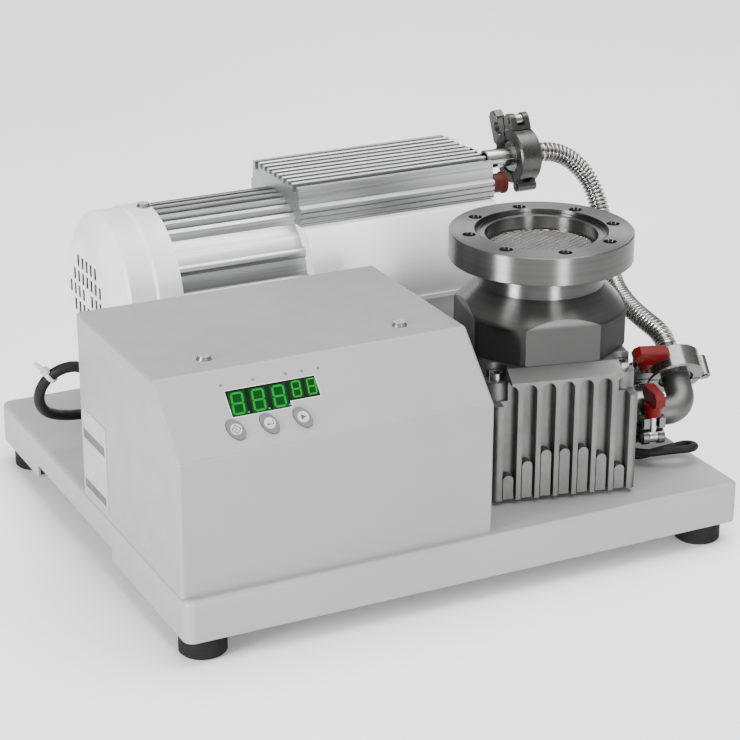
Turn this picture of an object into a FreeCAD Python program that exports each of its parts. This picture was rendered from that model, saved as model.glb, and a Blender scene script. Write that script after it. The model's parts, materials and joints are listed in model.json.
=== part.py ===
import FreeCAD, Part
import math
import os

import Sketcher

# A bench-top turbomolecular pumping station. Millimetres, +Z up, X to the right and Y to the back.
# The origin is the middle of the tray's footprint, on the plane that the four feet stand on.

Vector = FreeCAD.Vector
doc = FreeCAD.newDocument("pumping_station")
sheet = doc.addObject("Spreadsheet::Sheet", "Sizes")

SIZES = """
tray_width 371
tray_depth 330
tray_height 26.3
tray_sheet 1.5
tray_corner 6
tray_flange 34
tray_cut_front -45.8
tray_cut_back 90
tray_cut_rise 8.4
foot_height 15.2
foot_radius 14.2
foot_inset_side 16.9
foot_inset_front 18.7
foot_hole 2.7
foot_recess 6
base_foot_side 36
mount_left 8
mount_right 116
mount_side 34
board_drop 12
board_thick 1.6
key_switch 3
rocker_half 9
rocker_depth 5
rocker_pin 1.5
rocker_tilt 8
rocker_room 1.2
supply_left 40
supply_gap 6
inlet_socket_x -40
inlet_socket_z 70
rocker_z 104
plug_x -163
plug_z 82
cover_width 197.6
cover_depth 157.9
cover_setback 5.7
cover_front 81.5
cover_height 118.1
cover_sheet 1.2
cover_bend 3
panel_recess 2
window_left 39.3
window_right 94.5
window_step 75.5
window_low 21.7
window_step_low 25.2
window_high 37.9
window_depth 2.6
lamp_row 41.8
lamp_radius 0.9
key_row 14.2
key_first 38.8
key_pitch 20.35
key_long 6.9
key_short 4.7
key_tilt 27
key_proud 0.9
key_gap 0.2
key_travel 0.8
key_switch_gap 1.0
cap_screw_left 38.9
cap_screw_right 162.8
cap_screw_back 54.4
turbo_place_x 87.4
turbo_place_y -79.9
turbo_turn -12.73
base_gap 3
base_half 60.5
base_root 52
base_side 45.4
base_edge_top 120.6
base_roof_half 49
base_top 125.9
base_bore 42
fin_pitch 11.83
fin_thick 3
gap_arch_top 119
pad_recess 2
pad_width 6.4
base_screw_side 40
base_screw_front 43
base_boss 7.5
spot_face 117.5
screw_hole 2.75
cross_head 4.7
cross_head_high 2.2
vent_u -60
vent_v 19
vent_radius 6.5
vent_stem 3.5
vent_height 13
shaft_fit 0.03
knife_radius 38.4
envelope_corner_flat 51.6
screen_slots 13
screen_bar 1.4
envelope_radius 53.6
envelope_flat 48.2
envelope_wall_top 148.5
envelope_neck_low 163.5
neck_radius 39.2
neck_top_radius 37.6
flange_radius 56.75
flange_thick 17.5
flange_top 195.8
flange_pcd 92.1
flange_hole 4.2
gasket_radius 41.2
gasket_step 2.8
inlet_radius 34.9
screen_drop 11
rotor_radius 32.4
rotor_hub 17
rotor_top 169
stage_pitch 9
stage_count 4
blade_count 18
blade_thick 1.5
blade_width 5
blade_tilt 40
rotor_disc_top 131
rotor_skirt 29
skirt_wall 4
skirt_low 98
shaft_radius 6
shaft_low 55
magnet_radius 9
magnet_low 67
magnet_high 85
bearing_radius 11
bearing_height 8
bearing_low 57
bearing_high 88
coil_radius 22
coil_low 66
coil_high 96
sleeve_low 94
sleeve_gap 0.6
stack_wall 1.85
stator_disc 1.6
port_height 67.2
port_reach 69.7
port_tube 8
pipe_bore 7
port_bore 6.4
seat_depth 4
joint_leg 30
elbow_radius 9
elbow_bend 12
elbow_tilt 40
kf_radius 15
kf_rim 3
kf_hub 10
kf_gap 2
ring_radius 18.6
ring_half_width 8
ring_bore 11.5
ring_split 1.2
bolt_reach 23.2
bolt_pivot_low 6
ear_arc 13.8
ear_reach 27
ear_half 7
bolt_radius 2.9
bolt_fit 0.05
eye_radius 4
eye_half 2.8
nut_seat 14
nut_radius 6
wing_rise 7.3
wing_high 10.7
wing_half 12
wing_thick 7
hinge_reach 21
hinge_radius 3.8
pin_radius 2
pump_axis_y 100
pump_axis_z 128.8
head_left -9.7
head_length 143.7
head_half_depth 40
head_seam 169.7
head_top 196.1
head_root 192.6
head_rib_count 8
head_rib_pitch 7.5
head_rib_width 2.4
head_lip_depth 3.5
head_lip_top 194.9
head_slot_low 190
head_band_low 181.5
head_band_high 190.5
head_band_depth 3
head_groove_pitch 3.6
crank_length 141.7
crank_radius 61.5
crank_top_half 43
crank_low_radius 57
crank_parting 117.5
crank_lip 3
crank_wall 7
crank_bore 40
cylinder_radius 25
pump_foot_reach 40
pump_foot_width 16
pump_foot_low 66
motor_left -98.6
motor_radius 51
motor_rib_radius 55.6
motor_rib_count 9
motor_rib_pitch 7.4
motor_rib_width 2.4
motor_flute 3.6
motor_bore 44
cowl_radius 57
cowl_wall 2
cowl_ring_one -115.1
cowl_ring_two -134.9
cowl_end -143
cowl_face_radius 38.5
cowl_step 1.3
slot_wide 4.4
slot_tall 8.2
slot_pitch_wide 7.8
slot_pitch_tall 10.7
grille_radius 36
fan_radius 44
fan_hub 14
fan_blades 7
fan_left -131
fan_width 16
drive_radius 6
drive_left -133
coil_bore 28
core_radius 27.4
core_left -84
core_right -24
cylinder_offset 36
crank_throw 3
eccentric_radius 11
eccentric_half 6
rod_fit 0.06
rod_radius 16
disc_radius 20
chamber_radius 24
membrane_radius 31
membrane_thick 2
membrane_gap 0.3
chamber_depth 5
pump_bearing_radius 14
pump_bearing_width 6
cap_y 66
cap_z 178.4
cap_radius 6.6
cap_length 8
inlet_tube_y 75
inlet_tube_z 192.8
inlet_joint_x 161
inlet_clamp_turn 25
elbow_clamp_turn 5
tube_radius 6.5
tube_bore 5
hose_radius 6.5
hose_cuff 16
cable_radius 3.4
sleeve_radius 4.4
thin_cable 2.5
"""

row = 0
NUMBERS = {}
for entry in SIZES.split("\n"):
    if entry:
        row += 1
        alias, number = entry.split()
        sheet.set("A%d" % row, alias)
        sheet.set("B%d" % row, number)
        sheet.setAlias("B%d" % row, alias)
        NUMBERS[alias] = float(number)
doc.recompute()


# Sizes with their formulas

class Size:
    """A length or an angle, with the formula that ties it to the sheet."""

    def __init__(self, value, text):
        self.value = value
        self.text = text

    def __add__(self, other):
        other = sized(other)
        return Size(self.value + other.value, "(%s + %s)" % (self.text, other.text))

    def __radd__(self, other):
        return sized(other) + self

    def __sub__(self, other):
        other = sized(other)
        return Size(self.value - other.value, "(%s - %s)" % (self.text, other.text))

    def __rsub__(self, other):
        return sized(other) - self

    def __mul__(self, other):
        other = sized(other)
        return Size(self.value * other.value, "%s * %s" % (self.text, other.text))

    def __rmul__(self, other):
        return sized(other) * self

    def __truediv__(self, other):
        other = sized(other)
        return Size(self.value / other.value, "%s / %s" % (self.text, other.text))

    def __neg__(self):
        return Size(-self.value, "(0 - %s)" % self.text)

    def __float__(self):
        return float(self.value)


def sized(number):
    """Give a plain number the form of a size."""
    if isinstance(number, Size):
        return number
    return Size(float(number), "%.9g" % number if number >= 0 else "(0 - %.9g)" % -number)


def sine(angle):
    angle = sized(angle)
    return Size(math.sin(math.radians(angle.value)), "sin(%s)" % angle.text)


def cosine(angle):
    angle = sized(angle)
    return Size(math.cos(math.radians(angle.value)), "cos(%s)" % angle.text)


def root(number):
    number = sized(number)
    return Size(math.sqrt(number.value), "sqrt(%s)" % number.text)


def side(long, short):
    """The other short side of a right triangle."""
    return root(sized(long) * long - sized(short) * short)


class Driving:
    """The cells of the sheet, read by name."""

    def __getattr__(self, name):
        return Size(NUMBERS[name], "Sizes." + name)


S = Driving()


def bind(item, path, number):
    """Set a property's formula where the number comes from the sheet."""
    number = sized(number)
    if "Sizes." in number.text:
        item.setExpression(path, number.text)


# Bodies, sketches and features

def body(label):
    item = doc.addObject("PartDesign::Body", label)
    item.Label = label
    return item


def origin(holder, role):
    return next(feature for feature in holder.Origin.OriginFeatures if feature.Role == role)


def add_corners(outline, corners):
    """Draw a closed run of lines and arcs. A corner (x, y) starts a line, and a
    corner (x, y, cx, cy, turn) an arc about (cx, cy), anticlockwise where turn is 1."""
    first = outline.GeometryCount
    count = len(corners)
    starts = []
    ends = []
    for index, corner in enumerate(corners):
        here = Vector(float(corner[0]), float(corner[1]), 0)
        after = corners[(index + 1) % count]
        there = Vector(float(after[0]), float(after[1]), 0)
        if len(corner) == 2:
            outline.addGeometry(Part.LineSegment(here, there), False)
            starts.append(1)
            ends.append(2)
            continue
        centre = Vector(float(corner[2]), float(corner[3]), 0)
        low, high = (here, there) if corner[4] > 0 else (there, here)
        circle = Part.Circle(centre, Vector(0, 0, 1), (here - centre).Length)
        angles = [math.atan2(end.y - centre.y, end.x - centre.x) for end in (low, high)]
        outline.addGeometry(Part.ArcOfCircle(circle, angles[0], angles[1]), False)
        starts.append(1 if corner[4] > 0 else 2)
        ends.append(2 if corner[4] > 0 else 1)
    for index in range(count):
        after = (index + 1) % count
        outline.addConstraint(Sketcher.Constraint(
            "Coincident", first + index, ends[index], first + after, starts[after]))
    for index, corner in enumerate(corners):
        hold(outline, "DistanceX", first + index, starts[index], corner[0])
        hold(outline, "DistanceY", first + index, starts[index], corner[1])
        if len(corner) > 2:
            after = corners[(index + 1) % count]
            flat = abs(float(after[0]) - float(corner[0])) > abs(float(after[1]) - float(corner[1]))
            if flat:
                hold(outline, "DistanceY", first + index, 3, corner[3])
            else:
                hold(outline, "DistanceX", first + index, 3, corner[2])


def add_circle(outline, x, y, radius):
    centre = Vector(float(x), float(y), 0)
    index = outline.addGeometry(Part.Circle(centre, Vector(0, 0, 1), float(radius)), False)
    hold(outline, "DistanceX", index, 3, x)
    hold(outline, "DistanceY", index, 3, y)
    number = outline.addConstraint(Sketcher.Constraint("Radius", index, float(radius)))
    bind(outline, "Constraints[%d]" % number, radius)


def hold(outline, kind, index, point, number):
    """Fix one coordinate of a sketch point, measured from the sketch's origin."""
    constraint = Sketcher.Constraint(kind, -1, 1, index, point, float(number))
    place = outline.addConstraint(constraint)
    bind(outline, "Constraints[%d]" % place, number)


def sketch(holder, role, at, *loops):
    """A sketch on one of the body's own planes, at a distance along X, Y or Z. A loop
    is a list of corners, or a circle given as its centre and its radius."""
    outline = holder.newObject("Sketcher::SketchObject", "Outline")
    outline.AttachmentSupport = [(origin(holder, role), "")]
    outline.MapMode = "FlatFace"
    lift = -sized(at) if role == "XZ_Plane" else sized(at)
    outline.AttachmentOffset = FreeCAD.Placement(Vector(0, 0, float(lift)), FreeCAD.Rotation())
    bind(outline, "AttachmentOffset.Base.z", lift)
    for loop in loops:
        if isinstance(loop, tuple):
            add_circle(outline, *loop)
        else:
            add_corners(outline, loop)
    outline.Label = holder.Label + "_outline"
    return outline


def slanted(holder, y, z, angle, lift, *loops):
    """A sketch on a plane that rises to the back, with its lower edge at y and z."""
    outline = sketch(holder, "XY_Plane", 0, *loops)
    turned = FreeCAD.Rotation(Vector(1, 0, 0), angle)
    y = y - lift * sine(angle)
    z = z + lift * cosine(angle)
    outline.AttachmentOffset = FreeCAD.Placement(Vector(0, float(y), float(z)), turned)
    bind(outline, "AttachmentOffset.Base.y", y)
    bind(outline, "AttachmentOffset.Base.z", z)
    return outline


def feature(holder, kind, outline, length, backwards):
    item = holder.newObject("PartDesign::" + kind, kind)
    item.Profile = outline
    item.Length = float(length)
    bind(item, "Length", length)
    item.Reversed = backwards
    holder.Tip = item
    return item


def pad(holder, role, at, length, *loops):
    """Material from the plane at a distance, along +X, +Y or +Z."""
    outline = sketch(holder, role, at, *loops)
    return feature(holder, "Pad", outline, length, role == "XZ_Plane")


def pocket(holder, role, at, length, *loops):
    """A cut from the plane at a distance, along +X, +Y or +Z."""
    outline = sketch(holder, role, at, *loops)
    return feature(holder, "Pocket", outline, length, role != "XZ_Plane")


def revolve(holder, corners, axis="Z", kind="Revolution"):
    """Turn a half section about X or Z. Its corners are radius and place along Z, or
    place along X and radius."""
    outline = sketch(holder, "XZ_Plane", 0, corners)
    item = holder.newObject("PartDesign::" + kind, kind)
    item.Profile = outline
    item.ReferenceAxis = (outline, ["V_Axis" if axis == "Z" else "H_Axis"])
    item.Angle = 360
    holder.Tip = item
    return item


def step(holder, kind, role, length=0, count=1):
    """One way of repeating features: in a row, in a ring or mirrored."""
    item = holder.newObject("PartDesign::" + kind, kind)
    if kind == "Mirrored":
        item.MirrorPlane = (origin(holder, role), [""])
        return item
    if kind == "LinearPattern":
        item.Direction = (origin(holder, role), [""])
        item.Length = float(length)
        bind(item, "Length", length)
    else:
        item.Axis = (origin(holder, role), [""])
        item.Angle = 360
    item.Occurrences = int(float(count))
    bind(item, "Occurrences", count)
    return item


def repeat(holder, originals, kind, role, length=0, count=1):
    """Repeat features one way."""
    item = step(holder, kind, role, length, count)
    item.Originals = originals
    holder.Tip = item
    return item


def row(holder, originals, axis, length, count):
    return repeat(holder, originals, "LinearPattern", axis, length, count)


def ring(holder, originals, axis, count):
    return repeat(holder, originals, "PolarPattern", axis, 360, count)


def mirror(holder, originals, role):
    return repeat(holder, originals, "Mirrored", role)


def repeat_both(holder, originals, first, second):
    """Repeat features one way, and then all of those another way."""
    item = holder.newObject("PartDesign::MultiTransform", "Both")
    item.Originals = originals
    item.Transformations = [step(holder, *first), step(holder, *second)]
    holder.Tip = item
    return item


def soften(holder, radius, chosen, kind="Fillet"):
    """Round or chamfer the edges that a test picks out of the body's last feature."""
    doc.recompute()
    last = holder.Tip
    names = ["Edge%d" % (n + 1) for n, edge in enumerate(last.Shape.Edges) if chosen(edge)]
    item = holder.newObject("PartDesign::" + kind, kind)
    item.Base = (last, names)
    path = "Radius" if kind == "Fillet" else "Size"
    setattr(item, path, float(radius))
    bind(item, path, radius)
    holder.Tip = item
    return item


def upright(edge):
    """Whether an edge runs straight up."""
    box = edge.BoundBox
    return box.XLength < 0.01 and box.YLength < 0.01


def level(z, tolerance=0.01):
    """A test for the edges that lie at one height."""
    height = float(z)
    return lambda edge: abs(edge.BoundBox.ZMin - height) < tolerance > abs(edge.BoundBox.ZMax - height)


# Outlines

def rectangle(left, front, right, back):
    return [(left, front), (right, front), (right, back), (left, back)]


def rounded(left, front, right, back, radius):
    return [
        (left + radius, front),
        (right - radius, front, right - radius, front + radius, 1),
        (right, front + radius),
        (right, back - radius, right - radius, back - radius, 1),
        (right - radius, back),
        (left + radius, back, left + radius, back - radius, 1),
        (left, back - radius),
        (left, front + radius, left + radius, front + radius, 1),
    ]


# Simple solids, and what is made of them

FACING = {
    "X": FreeCAD.Rotation(Vector(0, 1, 0), 90),
    "Y": FreeCAD.Rotation(Vector(1, 0, 0), -90),
    "Z": FreeCAD.Rotation(),
}


def place(item, x, y, z, turn=None):
    item.Placement = FreeCAD.Placement(
        Vector(float(x), float(y), float(z)), turn or FreeCAD.Rotation())
    for name, number in (("x", x), ("y", y), ("z", z)):
        bind(item, "Placement.Base." + name, number)
    return item


def rod(radius, length, x=0, y=0, z=0, way="Z"):
    item = doc.addObject("Part::Cylinder", "Rod")
    item.Radius = float(radius)
    item.Height = float(length)
    bind(item, "Radius", radius)
    bind(item, "Height", length)
    return place(item, x, y, z, FACING[way])


def cone(low, high, length, x=0, y=0, z=0, way="Z"):
    item = doc.addObject("Part::Cone", "Cone")
    item.Radius1 = float(low)
    item.Radius2 = float(high)
    item.Height = float(length)
    bind(item, "Radius1", low)
    bind(item, "Radius2", high)
    bind(item, "Height", length)
    return place(item, x, y, z, FACING[way])


def block(x, y, z, width, depth, height):
    item = doc.addObject("Part::Box", "Block")
    for name, number in (("Length", width), ("Width", depth), ("Height", height)):
        setattr(item, name, float(number))
        bind(item, name, number)
    return place(item, x, y, z)


def torus(ring_radius, wire_radius, x=0, y=0, z=0, way="Z"):
    item = doc.addObject("Part::Torus", "Torus")
    item.Radius1 = float(ring_radius)
    item.Radius2 = float(wire_radius)
    bind(item, "Radius1", ring_radius)
    bind(item, "Radius2", wire_radius)
    return place(item, x, y, z, FACING[way])


def fuse(label, *items):
    item = doc.addObject("Part::MultiFuse", label)
    item.Label = label
    item.Shapes = list(items)
    item.Refine = True
    return item


def common(label, *items):
    item = doc.addObject("Part::MultiCommon", label)
    item.Label = label
    item.Shapes = list(items)
    return item


def group(label, *items):
    """Separate solids that share one node."""
    item = doc.addObject("Part::Compound", label)
    item.Label = label
    item.Links = list(items)
    return item


def cut(label, base, *tools):
    item = doc.addObject("Part::Cut", label)
    item.Label = label
    item.Base = base
    item.Tool = tools[0] if len(tools) == 1 else group(label + "_cuts", *tools)
    return item


def shaped(label, shape):
    """A piece whose shape is worked out here, from the same sizes."""
    item = doc.addObject("Part::Feature", label)
    item.Label = label
    item.Shape = shape
    return item


# Every finished piece, by the name of its node

nodes = []


def keep(item, label=None):
    if label:
        item.Label = label
    nodes.append(item)
    return item


# Planes that several pieces share

tray_left = -S.tray_width / 2
tray_front = -S.tray_depth / 2
tray_top = S.foot_height + S.tray_height
foot_x = S.tray_width / 2 - S.foot_inset_side
foot_y = S.tray_depth / 2 - S.foot_inset_front
CORNERS = ((-1, -1), (1, -1), (1, 1), (-1, 1))


# The tray: a folded sheet with its flanges turned in, raised on the left for the cables

def turbo_spot(u, v):
    """Where a place on the turbo pump, given from its axis, lies on the tray."""
    x = S.turbo_place_x + u * cosine(S.turbo_turn) - v * sine(S.turbo_turn)
    y = S.turbo_place_y + u * sine(S.turbo_turn) + v * cosine(S.turbo_turn)
    return x, y


def tray_mounts():
    """The places of the screws that hold the two pumps."""
    spots = [turbo_spot(S.base_foot_side * a, S.base_foot_side * b) for a, b in CORNERS]
    for x in (S.mount_left, S.mount_right):
        for b in (-1, 1):
            spots.append((x, S.pump_axis_y + S.mount_side * b))
    return spots


def base_tray():
    item = body("base_tray")
    right = -tray_left
    back = -tray_front
    wall = S.tray_sheet
    inner_left = tray_left + S.tray_flange
    inner_front = tray_front + S.tray_flange
    pad(item, "XY_Plane", S.foot_height, S.tray_height,
        rounded(tray_left, tray_front, right, back, S.tray_corner))
    soften(item, S.tray_corner / 2, level(tray_top))
    pocket(item, "XY_Plane", S.foot_height + wall, S.tray_height - wall * 2,
           rounded(tray_left + wall, tray_front + wall, right - wall, back - wall, S.tray_corner - wall))
    pocket(item, "XY_Plane", S.foot_height - 1, wall * 2 + 1,
           rectangle(inner_left, inner_front, -inner_left, -inner_front))
    notch = rectangle(tray_left - 1, S.tray_cut_front, inner_left, S.tray_cut_back)
    pocket(item, "XY_Plane", S.foot_height - 1, S.tray_cut_rise + 1, notch)
    lip = rectangle(tray_left, S.tray_cut_front, inner_left, S.tray_cut_back)
    pad(item, "XY_Plane", S.foot_height + S.tray_cut_rise, wall, lip)
    holes = [(foot_x * a, foot_y * b, S.foot_hole) for a, b in CORNERS]
    pocket(item, "XY_Plane", S.foot_height - 1, wall + 2, *holes)
    mounts = [(x, y, S.screw_hole) for x, y in tray_mounts()]
    pocket(item, "XY_Plane", tray_top - wall * 2, wall * 3, *mounts)
    return keep(item)


def rubber_feet():
    item = body("rubber_feet")
    edge = 1.2
    recess = S.foot_radius * 0.42
    foot = revolve(item, [
        (S.foot_hole, S.foot_height), (S.foot_hole, S.foot_recess), (recess, S.foot_recess), (recess, 0),
        (S.foot_radius - edge, 0), (S.foot_radius, edge), (S.foot_radius, S.foot_height),
    ])
    repeat_both(item, [foot], ("LinearPattern", "X_Axis", foot_x * 2, 2),
                ("LinearPattern", "Y_Axis", foot_y * 2, 2))
    return keep(place(item, -foot_x, -foot_y, 0))


def screw(head_radius, head_height, shank_radius, length, x, y, z):
    """A screw with its head's underside at z and its shank upwards."""
    return fuse("screw", rod(head_radius, head_height, x, y, z - head_height),
                rod(shank_radius, length, x, y, z))


def tray_screws():
    """The screws of the feet and of the two pumps, all driven from below."""
    shank = S.screw_hole - 0.15
    screws = [screw(4.6, 3.2, S.foot_hole - 0.1, S.foot_height - S.foot_recess + 5, foot_x * a, foot_y * b,
                    S.foot_recess) for a, b in CORNERS]
    under = tray_top - S.tray_sheet
    for x, y in tray_mounts():
        screws.append(screw(4.6, 3.2, shank, S.tray_sheet + 7, x, y, under))
    return keep(group("tray_screws", *screws))


# The controller: a folded cover with a sloping panel, and what stands in it

cover_left = tray_left
cover_low = tray_front + S.cover_setback
cover_back = cover_low + S.cover_depth
cover_top = tray_top + S.cover_height
slope_low = tray_top + S.cover_front
slope_angle = 45
slope_run = S.cover_height - S.cover_front


def cover_profile(inset):
    """The bent sheet seen from its side, or its inside at the sheet's depth."""
    front = cover_low + inset
    corner = inset * (math.sqrt(2) - 1)
    open_low = tray_top - inset * 2
    open_back = cover_back + inset * 2
    return [
        (front, open_low), (open_back, open_low), (open_back, cover_top - inset),
        (cover_low + slope_run + corner, cover_top - inset), (front, slope_low - corner),
    ]


def panel(item, lift, *loops):
    """A sketch on the sloping panel: x along it and y up it from its lower bend."""
    return slanted(item, cover_low, slope_low, slope_angle, sized(lift), *loops)


def panel_place(item, u, v, lift):
    """Stand a piece on the sloping panel, with its own Z along the panel's normal."""
    up = sine(slope_angle)
    place(item, cover_left + u, cover_low + (v - lift) * up, slope_low + (v + lift) * up,
          FreeCAD.Rotation(Vector(1, 0, 0), slope_angle))
    return item


def oval(long, short, depth, u, v, lift):
    """A slanting oval prism, standing on the panel."""
    outline = doc.addObject("Part::Ellipse", "Oval")
    outline.MajorRadius = float(long)
    outline.MinorRadius = float(short)
    bind(outline, "MajorRadius", long)
    bind(outline, "MinorRadius", short)
    item = doc.addObject("Part::Extrusion", "Prism")
    item.Base = outline
    item.DirMode = "Custom"
    item.Dir = Vector(0, 0, 1)
    item.LengthFwd = float(depth)
    bind(item, "LengthFwd", depth)
    item.Solid = True
    panel_place(item, u, v, lift)
    tilt = FreeCAD.Rotation(Vector(0, 0, 1), 90 + float(S.key_tilt))
    item.Placement = FreeCAD.Placement(item.Placement.Base, item.Placement.Rotation.multiply(tilt))
    return item


def key_centre(index):
    return S.key_first + S.key_pitch * index


KEYS = ("button_left", "button_middle", "button_right")
lamps = [key_centre(0) - 0.5, key_centre(1) - 1.2, key_centre(2) - 1.6, key_centre(2) + 8.6,
         key_centre(2) + 18.7]


def window_outline(gap):
    """The display's outline: a tall part with a lower one on its right."""
    return [
        (cover_left + S.window_left + gap, S.window_low + gap),
        (cover_left + S.window_step - gap, S.window_low + gap),
        (cover_left + S.window_step - gap, S.window_step_low + gap),
        (cover_left + S.window_right - gap, S.window_step_low + gap),
        (cover_left + S.window_right - gap, S.window_high - gap),
        (cover_left + S.window_left + gap, S.window_high - gap),
    ]


def controller_cover():
    shell = body("cover_shell")
    wall = S.cover_sheet
    pad(shell, "YZ_Plane", cover_left, S.cover_width, [
        (cover_low, tray_top), (cover_back, tray_top), (cover_back, cover_top),
        (cover_low + slope_run, cover_top), (cover_low, slope_low),
    ])
    bends = (cover_low, slope_low), (cover_low + slope_run, cover_top)
    soften(shell, S.cover_bend, lambda edge: edge.BoundBox.XLength > float(S.cover_width) - 1 and any(
        abs(edge.BoundBox.YMin - float(y)) + abs(edge.BoundBox.ZMin - float(z)) < 0.01 for y, z in bends))
    right = cover_left + S.cover_width
    sides = [float(cover_left), float(right)]
    soften(shell, S.cover_bend * 0.7, lambda edge: edge.BoundBox.XLength < 0.01 and any(
        abs(edge.BoundBox.XMin - x) < 0.01 for x in sides) and edge.BoundBox.ZMax > float(tray_top) + 1
        and edge.BoundBox.YMin < float(cover_back) - 0.5)
    pocket(shell, "YZ_Plane", cover_left + wall, S.cover_width - wall * 2, cover_profile(wall))
    window = panel(shell, -wall * 2, window_outline(0))
    feature(shell, "Pocket", window, wall * 4, True)
    circles = [(cover_left + u, S.lamp_row, S.lamp_radius + 0.1) for u in lamps]
    lamp_holes = panel(shell, -wall * 2, *circles)
    feature(shell, "Pocket", lamp_holes, wall * 4, True)
    screws = [(cover_left + u, cover_low + S.cap_screw_back, S.screw_hole)
              for u in (S.cap_screw_left, S.cap_screw_right)]
    pocket(shell, "XY_Plane", cover_top - wall * 2, wall * 3, *screws)
    openings = [oval(S.key_long + S.key_gap, S.key_short + S.key_gap, wall * 4, key_centre(n), S.key_row,
                     -wall * 2) for n in range(3)]
    return keep(cut("controller_cover", shell, *openings))


def buttons():
    """Three push keys, each held from below by a rim wider than its opening."""
    wall = S.cover_sheet
    rim = 0.5
    for n, label in enumerate(KEYS):
        cap = oval(S.key_long, S.key_short, wall + S.key_proud + 0.3, key_centre(n), S.key_row, -wall - 0.3)
        collar = oval(S.key_long + rim, S.key_short + rim, 1.0, key_centre(n), S.key_row, -wall - 1.3)
        stem_length = S.board_drop - wall - 1.3 - S.key_switch - S.key_travel - S.key_switch_gap
        stem = panel_place(rod(2, stem_length), key_centre(n), S.key_row, -wall - 1.3 - stem_length)
        keep(fuse(label, cap, collar, stem))


def display_window():
    item = body("display_window")
    gap = 0.1
    sheet_low = -S.cover_sheet - 0.3
    front = panel(item, sheet_low, window_outline(gap))
    feature(item, "Pad", front, S.cover_sheet - 0.1 + 0.3, False)
    rear = panel(item, sheet_low - S.window_depth, window_outline(-0.3))
    feature(item, "Pad", rear, S.window_depth, False)
    return keep(item)


def display_board():
    """The circuit board under the panel, with its digits, switches and lamps."""
    wall = S.cover_sheet
    item = body("board_parts")
    low = -S.board_drop
    left = cover_left + S.key_first - 14
    right = cover_left + key_centre(2) + 24
    plate = panel(item, low - S.board_thick, rectangle(left, 4, right, 47))
    feature(item, "Pad", plate, S.board_thick, False)
    digits = panel(item, low, window_outline(0.5))
    feature(item, "Pad", digits, S.board_drop - wall - 0.3 - S.window_depth - 0.2, False)
    squares = [rectangle(cover_left + key_centre(n) - 3, S.key_row - 3, cover_left + key_centre(n) + 3,
                         S.key_row + 3) for n in range(3)]
    switches = panel(item, low, *squares)
    feature(item, "Pad", switches, S.key_switch, False)
    lights = panel(item, low, *[(cover_left + u, S.lamp_row, S.lamp_radius) for u in lamps])
    feature(item, "Pad", lights, S.board_drop - 0.1, False)
    posts = panel(item, low, *[(x, v, 2) for x in (left + 4, right - 4) for v in (7, 44)])
    feature(item, "Pad", posts, S.board_drop - wall, False)
    return keep(item, "display_board")


def controller_board():
    """The drive's circuit board on its spacers, with its larger components."""
    item = body("controller_board")
    left = cover_left + 12
    right = cover_left + 105
    front = cover_low + 12
    back = cover_back - 24
    spacer = 8
    top = tray_top + spacer + S.board_thick
    pad(item, "XY_Plane", tray_top + spacer, S.board_thick, rectangle(left, front, right, back))
    feet = [(x, y, 3) for x in (left + 6, right - 6) for y in (front + 6, back - 6)]
    pad(item, "XY_Plane", tray_top, spacer, *feet)
    pad(item, "XY_Plane", top, 28, (left + 24, front + 24, 9), (left + 24, front + 46, 9))
    pad(item, "XY_Plane", top, 22, rectangle(left + 44, front + 14, left + 80, front + 44))
    pad(item, "XY_Plane", top, 34, rectangle(left + 14, back - 28, left + 80, back - 22))
    pad(item, "XY_Plane", top, 3, rectangle(left + 50, front + 60, left + 66, front + 76))
    return keep(item)


def power_supply():
    """A boxed supply whose two straps reach up to the cover's screws."""
    item = body("power_supply")
    left = cover_left + S.cover_width - 12 - 76
    right = left + 76
    front = cover_low + 14
    back = cover_back - 48
    box_top = tray_top + 44
    pad(item, "XY_Plane", tray_top, 44, rounded(left, front, right, back, sized(2)))
    vent = pocket(item, "XY_Plane", box_top - 3, 4, rounded(left + 10, front + 10, left + 13, back - 10, sized(1.4)))
    row(item, [vent], "X_Axis", 54, 10)
    under = cover_top - S.cover_sheet
    screw_y = cover_low + S.cap_screw_back
    bridge_left = cover_left + S.cap_screw_left - 7
    bridge_right = cover_left + S.cap_screw_right + 7
    pad(item, "XY_Plane", box_top, under - box_top,
        rectangle(bridge_right - 2, screw_y - 7, bridge_right, screw_y + 7))
    pad(item, "XY_Plane", under - 2, 2, rectangle(bridge_left, screw_y - 7, bridge_right, screw_y + 7))
    holes = [(cover_left + u, screw_y, S.screw_hole - 0.1) for u in (S.cap_screw_left, S.cap_screw_right)]
    pocket(item, "XY_Plane", under - 3, 4, *holes)
    return keep(item)


def socket_outline():
    return rounded(S.inlet_socket_x - 14.5, S.inlet_socket_z - 12, S.inlet_socket_x + 14.5,
                   S.rocker_z + 11, sized(2))


def controller_back_panel():
    item = body("controller_back_panel")
    wall = S.cover_sheet
    inside = cover_left + wall
    right = cover_left + S.cover_width - wall
    outer = cover_back - wall
    pad(item, "XZ_Plane", outer, wall, rounded(inside, tray_top, right, cover_top - wall, sized(1)))
    pad(item, "XZ_Plane", outer - 10, 10, rectangle(inside + 6, tray_top, right - 6, tray_top + wall))
    pocket(item, "XZ_Plane", outer - 1, wall + 2, socket_outline(),
           (S.plug_x, S.plug_z, sized(7.2)))
    vent = pocket(item, "XZ_Plane", outer - 1, wall + 2,
                  rounded(inside + 62, tray_top + 26, inside + 65, tray_top + 86, sized(1.4)))
    row(item, [vent], "X_Axis", 42, 7)
    return keep(item)


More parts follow.
